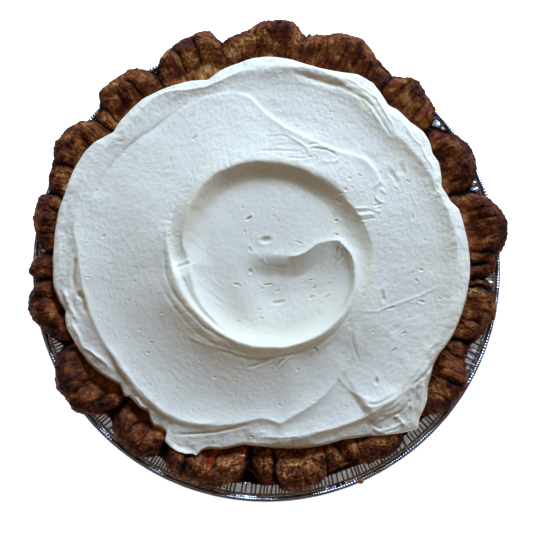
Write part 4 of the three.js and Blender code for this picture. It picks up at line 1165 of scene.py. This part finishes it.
def whippedCream():
    # Whipped buttercream, spread with a spatula: matt and dense white, pricked with small air holes
    # and dragged into a fine grain; ivory is painted shade, mixed in along the rims and in hollows
    material, tree = newMaterial("spread whipped cream")
    place = addNode(tree, "ShaderNodeTexCoord").outputs["Object"]
    # Grain of the whipped fat, about 0.8 mm, coarser than the real grain so that it shows
    grain = addNode(tree, "ShaderNodeTexNoise", None,
                    {"Vector": place, "Scale": 1300.0, "Detail": 3.0, "Roughness": 0.55})
    # Painted shade: the ivory #e0cf9c is mixed in by the painted shade attribute
    paintedShade = addNode(tree, "ShaderNodeAttribute", {"attribute_name": "paintedShade"}).outputs["Fac"]
    tone = addNode(tree, "ShaderNodeMix", {"data_type": "RGBA"},
                   {"Factor": paintedShade, "A": linear("#f5efdc"), "B": linear("#e0cf9c")})
    bump = addNode(tree, "ShaderNodeBump", None,
                   {"Height": grain.outputs[0], "Strength": 0.3, "Distance": 0.0003})
    shader = addNode(tree, "ShaderNodeBsdfPrincipled", None,
                     {"Base Color": tone.outputs["Result"], "Roughness": 0.55, "IOR": 1.42,
                      "Subsurface Weight": 0.25, "Subsurface Radius": (1.0, 0.75, 0.45),
                      "Subsurface Scale": 0.0015, "Normal": bump.outputs[0]})
    addNode(tree, "ShaderNodeOutputMaterial", None, {"Surface": shader.outputs[0]})
    return material


def discGrid(count):
    # Points of an even square grid eased into a disc: share of the way out, and direction
    line = np.linspace(-1, 1, count)
    across, up = np.meshgrid(line, line)
    wide = np.abs(across) > np.abs(up)
    far = np.where(wide, across, up)
    safe = np.where(far == 0, 1, far)
    turn = np.where(wide, 45 * up / safe, 90 - 45 * across / safe)
    direction = np.where(far < 0, turn + 180, turn)
    return np.abs(far).ravel(), direction.ravel() % 360


def creamTopping():
    count = cream["grid"]
    share, direction = discGrid(count)
    # Rings crowd a little towards the edge, where the cream turns down
    radius = creamReach(direction) * (share + 0.06 * share * np.sin(math.pi * share))
    angle = np.radians(direction)
    centreX, centreY = cream["swirlCentre"]
    x, y = centreX + radius * np.cos(angle), centreY + radius * np.sin(angle)
    z, paintedShade = creamHeight(x, y, radius, direction)
    index = np.arange(count * count).reshape(count, count)
    quads = np.stack([index[:-1, :-1], index[:-1, 1:], index[1:, 1:], index[1:, :-1]], -1)
    faces = quads.reshape(-1, 4).tolist()
    # The underside: a rounded lip, then in along the crust to the filling
    loop = np.concatenate([index[0, :-1], index[:-1, -1], index[-1, :0:-1], index[:0:-1, 0]])
    bottom = crust["fillingTop"] + 0.1
    rows, upper = [], loop
    for inset, drop in ((0.7, 0.9), (2.5, 1.1), (7.0, 0.9), (12.0, 0.5)):
        rowX, rowY = x[loop] - inset * np.cos(angle[loop]), y[loop] - inset * np.sin(angle[loop])
        rowZ = np.maximum(np.minimum(crustTop(rowX, rowY) + 0.1, z[loop] - drop), bottom)
        lower = count * count + len(rows) * len(loop) + np.arange(len(loop))
        faces += np.stack([upper, lower, np.roll(lower, -1), np.roll(upper, -1)], -1).tolist()
        rows.append(np.stack([rowX, rowY, rowZ], -1))
        upper = lower
    points = np.concatenate([np.stack([x, y, z], -1)] + rows + [[[centreX, centreY, bottom]]])
    last = len(points) - 1
    faces += [(after, before, last) for before, after in zip(upper.tolist(), np.roll(upper, -1).tolist())]
    # The underside gets no painted shade
    paintedShade = np.append(paintedShade, np.zeros(len(points) - len(paintedShade)))
    piece = meshPiece("spread_cream", points, faces, whippedCream(), {"paintedShade": paintedShade})
    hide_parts("cream_topping")
    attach(piece, "root")


syrup = {
    "thickness": 0.9,
    "sunk": 0.5,  # how far its underside lies in the crust
    "fullWidth": 1.6,  # half width from which a drip has its whole thickness
    "endLength": 0.9,  # over which each end closes in a round
    "waver": 0.12,  # how unevenly wide a drip is
    "steps": 40,
    "sides": 24,
}

# Drips that ran from under the cream: points along each, with its half width there
syrupDrips = [
    [(-33.8, -96.4, 0.6), (-30.6, -97.2, 1.4), (-27.7, -97.9, 1.6), (-25.8, -98.6, 0.8)],
    [(-27.3, -97, 1.2), (-28, -100, 1.6), (-29.1, -102.9, 1.4), (-29.7, -105.4, 1),
     (-30.2, -107.4, 0.5)],
    [(-11.3, -91.8, 1.5), (-11.3, -95.6, 1.8), (-12, -98.5, 2.1), (-13.4, -100.7, 1.9),
     (-15.2, -102.2, 1.4), (-18.2, -102.3, 0.7)],
    [(-52.4, -91.6, 0.5), (-52, -90.4, 0.9), (-51.4, -89.4, 0.5)],
    [(-111.6, -6.2, 0.4), (-110.9, -5.2, 0.8), (-110.2, -4.4, 0.4)],
]


def fruitSyrup():
    # Boiled fruit syrup, set to a clear amber-red gel: smooth and wet, so it holds a sharp highlight
    material, tree = newMaterial("set fruit syrup")
    place = addNode(tree, "ShaderNodeTexCoord").outputs["Object"]
    # Cloudy with pulp, in wisps about 4 mm across
    cloud = addNode(tree, "ShaderNodeTexNoise", None, {"Vector": place, "Scale": 260.0, "Detail": 2.0})
    tone = setRamp(addNode(tree, "ShaderNodeValToRGB", None, {"Fac": cloud.outputs[0]}),
                   [(0.3, "#5e1a0b"), (0.55, "#963a14"), (0.75, "#bb6a35")])
    shader = addNode(tree, "ShaderNodeBsdfPrincipled", None,
                     {"Base Color": tone.outputs[0], "Roughness": 0.08, "IOR": 1.45,
                      "Subsurface Weight": 0.4, "Subsurface Radius": (1.0, 0.3, 0.1),
                      "Subsurface Scale": 0.002})
    addNode(tree, "ShaderNodeOutputMaterial", None, {"Surface": shader.outputs[0]})
    return material


def surfaceBelow(piece):
    # Looks straight down onto a piece and gives its height at a place, in millimetres
    tree = BVHTree.FromObject(piece, bpy.context.evaluated_depsgraph_get())
    above, valley = 90, 36

    def heightAt(x, y):
        hit = tree.ray_cast(Vector((x, y, above)) * mm, Vector((0, 0, -1)))[0]
        return hit.z / mm if hit else valley

    return heightAt


def dripAt(plan, spans, along):
    # Place and half width at a distance along a drip
    return np.array([np.interp(along, spans, column) for column in plan.T])


def syrupDrops(crustPiece):
    heightAt = surfaceBelow(crustPiece)
    points, faces = [], []
    steps, sides = syrup["steps"], syrup["sides"]
    for drip in syrupDrips:
        plan = np.array(drip)
        spans = np.concatenate([[0], np.cumsum(np.hypot(*np.diff(plan[:, :2], axis=0).T))])
        first = len(points)
        for step in range(steps + 1):
            along = spans[-1] * step / steps
            x, y, half = dripAt(plan, spans, along)
            dx, dy, _ = dripAt(plan, spans, along + 0.6) - dripAt(plan, spans, along - 0.6)
            length = math.hypot(dx, dy)
            end = min(1, min(along, spans[-1] - along) / syrup["endLength"])
            half = half * math.sqrt(max(0, 1 - (1 - end) ** 2))
            half = half * (1 + syrup["waver"] * math.sin(along * 1.9 + first))
            for side in range(sides):
                turn = 2 * math.pi * side / sides
                out = half * math.cos(turn)
                px, py = x - dy / length * out, y + dx / length * out
                swell = syrup["thickness"] * min(1, half / syrup["fullWidth"]) * math.sin(turn)
                points.append((px, py, heightAt(px, py) + (swell if swell > 0 else -syrup["sunk"])))
        for step in range(steps):
            ring = first + step * sides
            for side in range(sides):
                after = (side + 1) % sides
                faces.append((ring + side, ring + sides + side, ring + sides + after, ring + after))
        last = first + steps * sides
        faces.append(tuple(range(first, first + sides)))
        faces.append(tuple(range(last, last + sides))[::-1])
    piece = meshPiece("syrup_drips", np.array(points), faces, fruitSyrup())
    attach(piece, "root")


crumbs = {
    "detail": 3,  # how often each crumb's surface is divided
    "roughness": 0.34,
    "seed": 11,
}

# Crumbs of crust that fell on the tin: place, height of what they lie on, size, how dark
fallenCrumbs = [
    (48.2, -111.5, 31.5, 2, 0.75), (36.7, -113.8, 30.6, 1.2, 0.2), (39.4, -112.8, 30.6, 1, 0.15),
    (37.8, -114.6, 30.6, 0.7, 0.25), (32, -112.1, 30.6, 0.8, 0.5), (59, -101.5, 30.8, 0.8, 0.7),
    (-4, -118.5, 30.6, 0.9, 0.6), (-7.4, -117.9, 30.6, 0.5, 0.5), (-16.1, -118, 30.6, 1, 0.6),
    (-19.6, -116.9, 30.6, 0.6, 0.45), (-28.1, -116.2, 30.6, 1.1, 0.6), (-31, -114.9, 30.6, 0.5, 0.6),
    (-41.9, -112.5, 30.6, 0.9, 0.55), (-45.9, -111.4, 30.6, 0.6, 0.5), (-21.6, -114.6, 30.6, 0.6, 0.6),
    (-83.5, -86.6, 30.7, 0.7, 0.5),
]


def pastryCrumbs():
    chance = np.random.default_rng(crumbs["seed"])
    ball = bmesh.new()
    bmesh.ops.create_icosphere(ball, subdivisions=crumbs["detail"], radius=1.0)
    unit = np.array([vertex.co[:] for vertex in ball.verts])
    shape = np.array([[vertex.index for vertex in face.verts] for face in ball.faces])
    ball.free()
    points, faces, baked = [], [], []
    for x, y, z, size, tone in fallenCrumbs:
        # Broken flakes: lumps squashed unevenly, with chipped faces
        lump = layeredNoise(*(unit + chance.uniform(0, 50, 3)).T, 0.9, 3, 81, 0.6)
        stretch = size * chance.uniform([0.75, 0.6, 0.45], [1.25, 0.9, 0.75])
        turn = chance.uniform(0, math.pi)
        across, along, up = (unit * (1 + crumbs["roughness"] * lump)[:, None] * stretch).T
        up = np.maximum(up, -0.5 * stretch[2])
        faces += (shape + len(points) * len(unit)).tolist()
        points.append(np.stack([x + across * math.cos(turn) - along * math.sin(turn),
                                y + across * math.sin(turn) + along * math.cos(turn),
                                z + 0.42 * stretch[2] + up], 1))
        baked.append(tone + 0.5 * crumbs["roughness"] * lump - 0.2)
    baked = np.concatenate(baked)
    piece = meshPiece("pastry_crumbs", np.concatenate(points), faces, bakedShortcrust(),
                      {"baked": baked, "crease": np.zeros(len(baked))})
    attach(piece, "root")


print("studio: camera, window light and floor")
studioCamera()
studioLight()
studioFloor()
print("foil tin: pleated wall, flange and bead")
foilTin()
print("crust: folds, creases and flakes")
bakedCrust = pieCrust()
print("syrup and crumbs")
syrupDrops(bakedCrust)
pastryCrumbs()
print("cream: spread, swirl and strokes")
creamTopping()
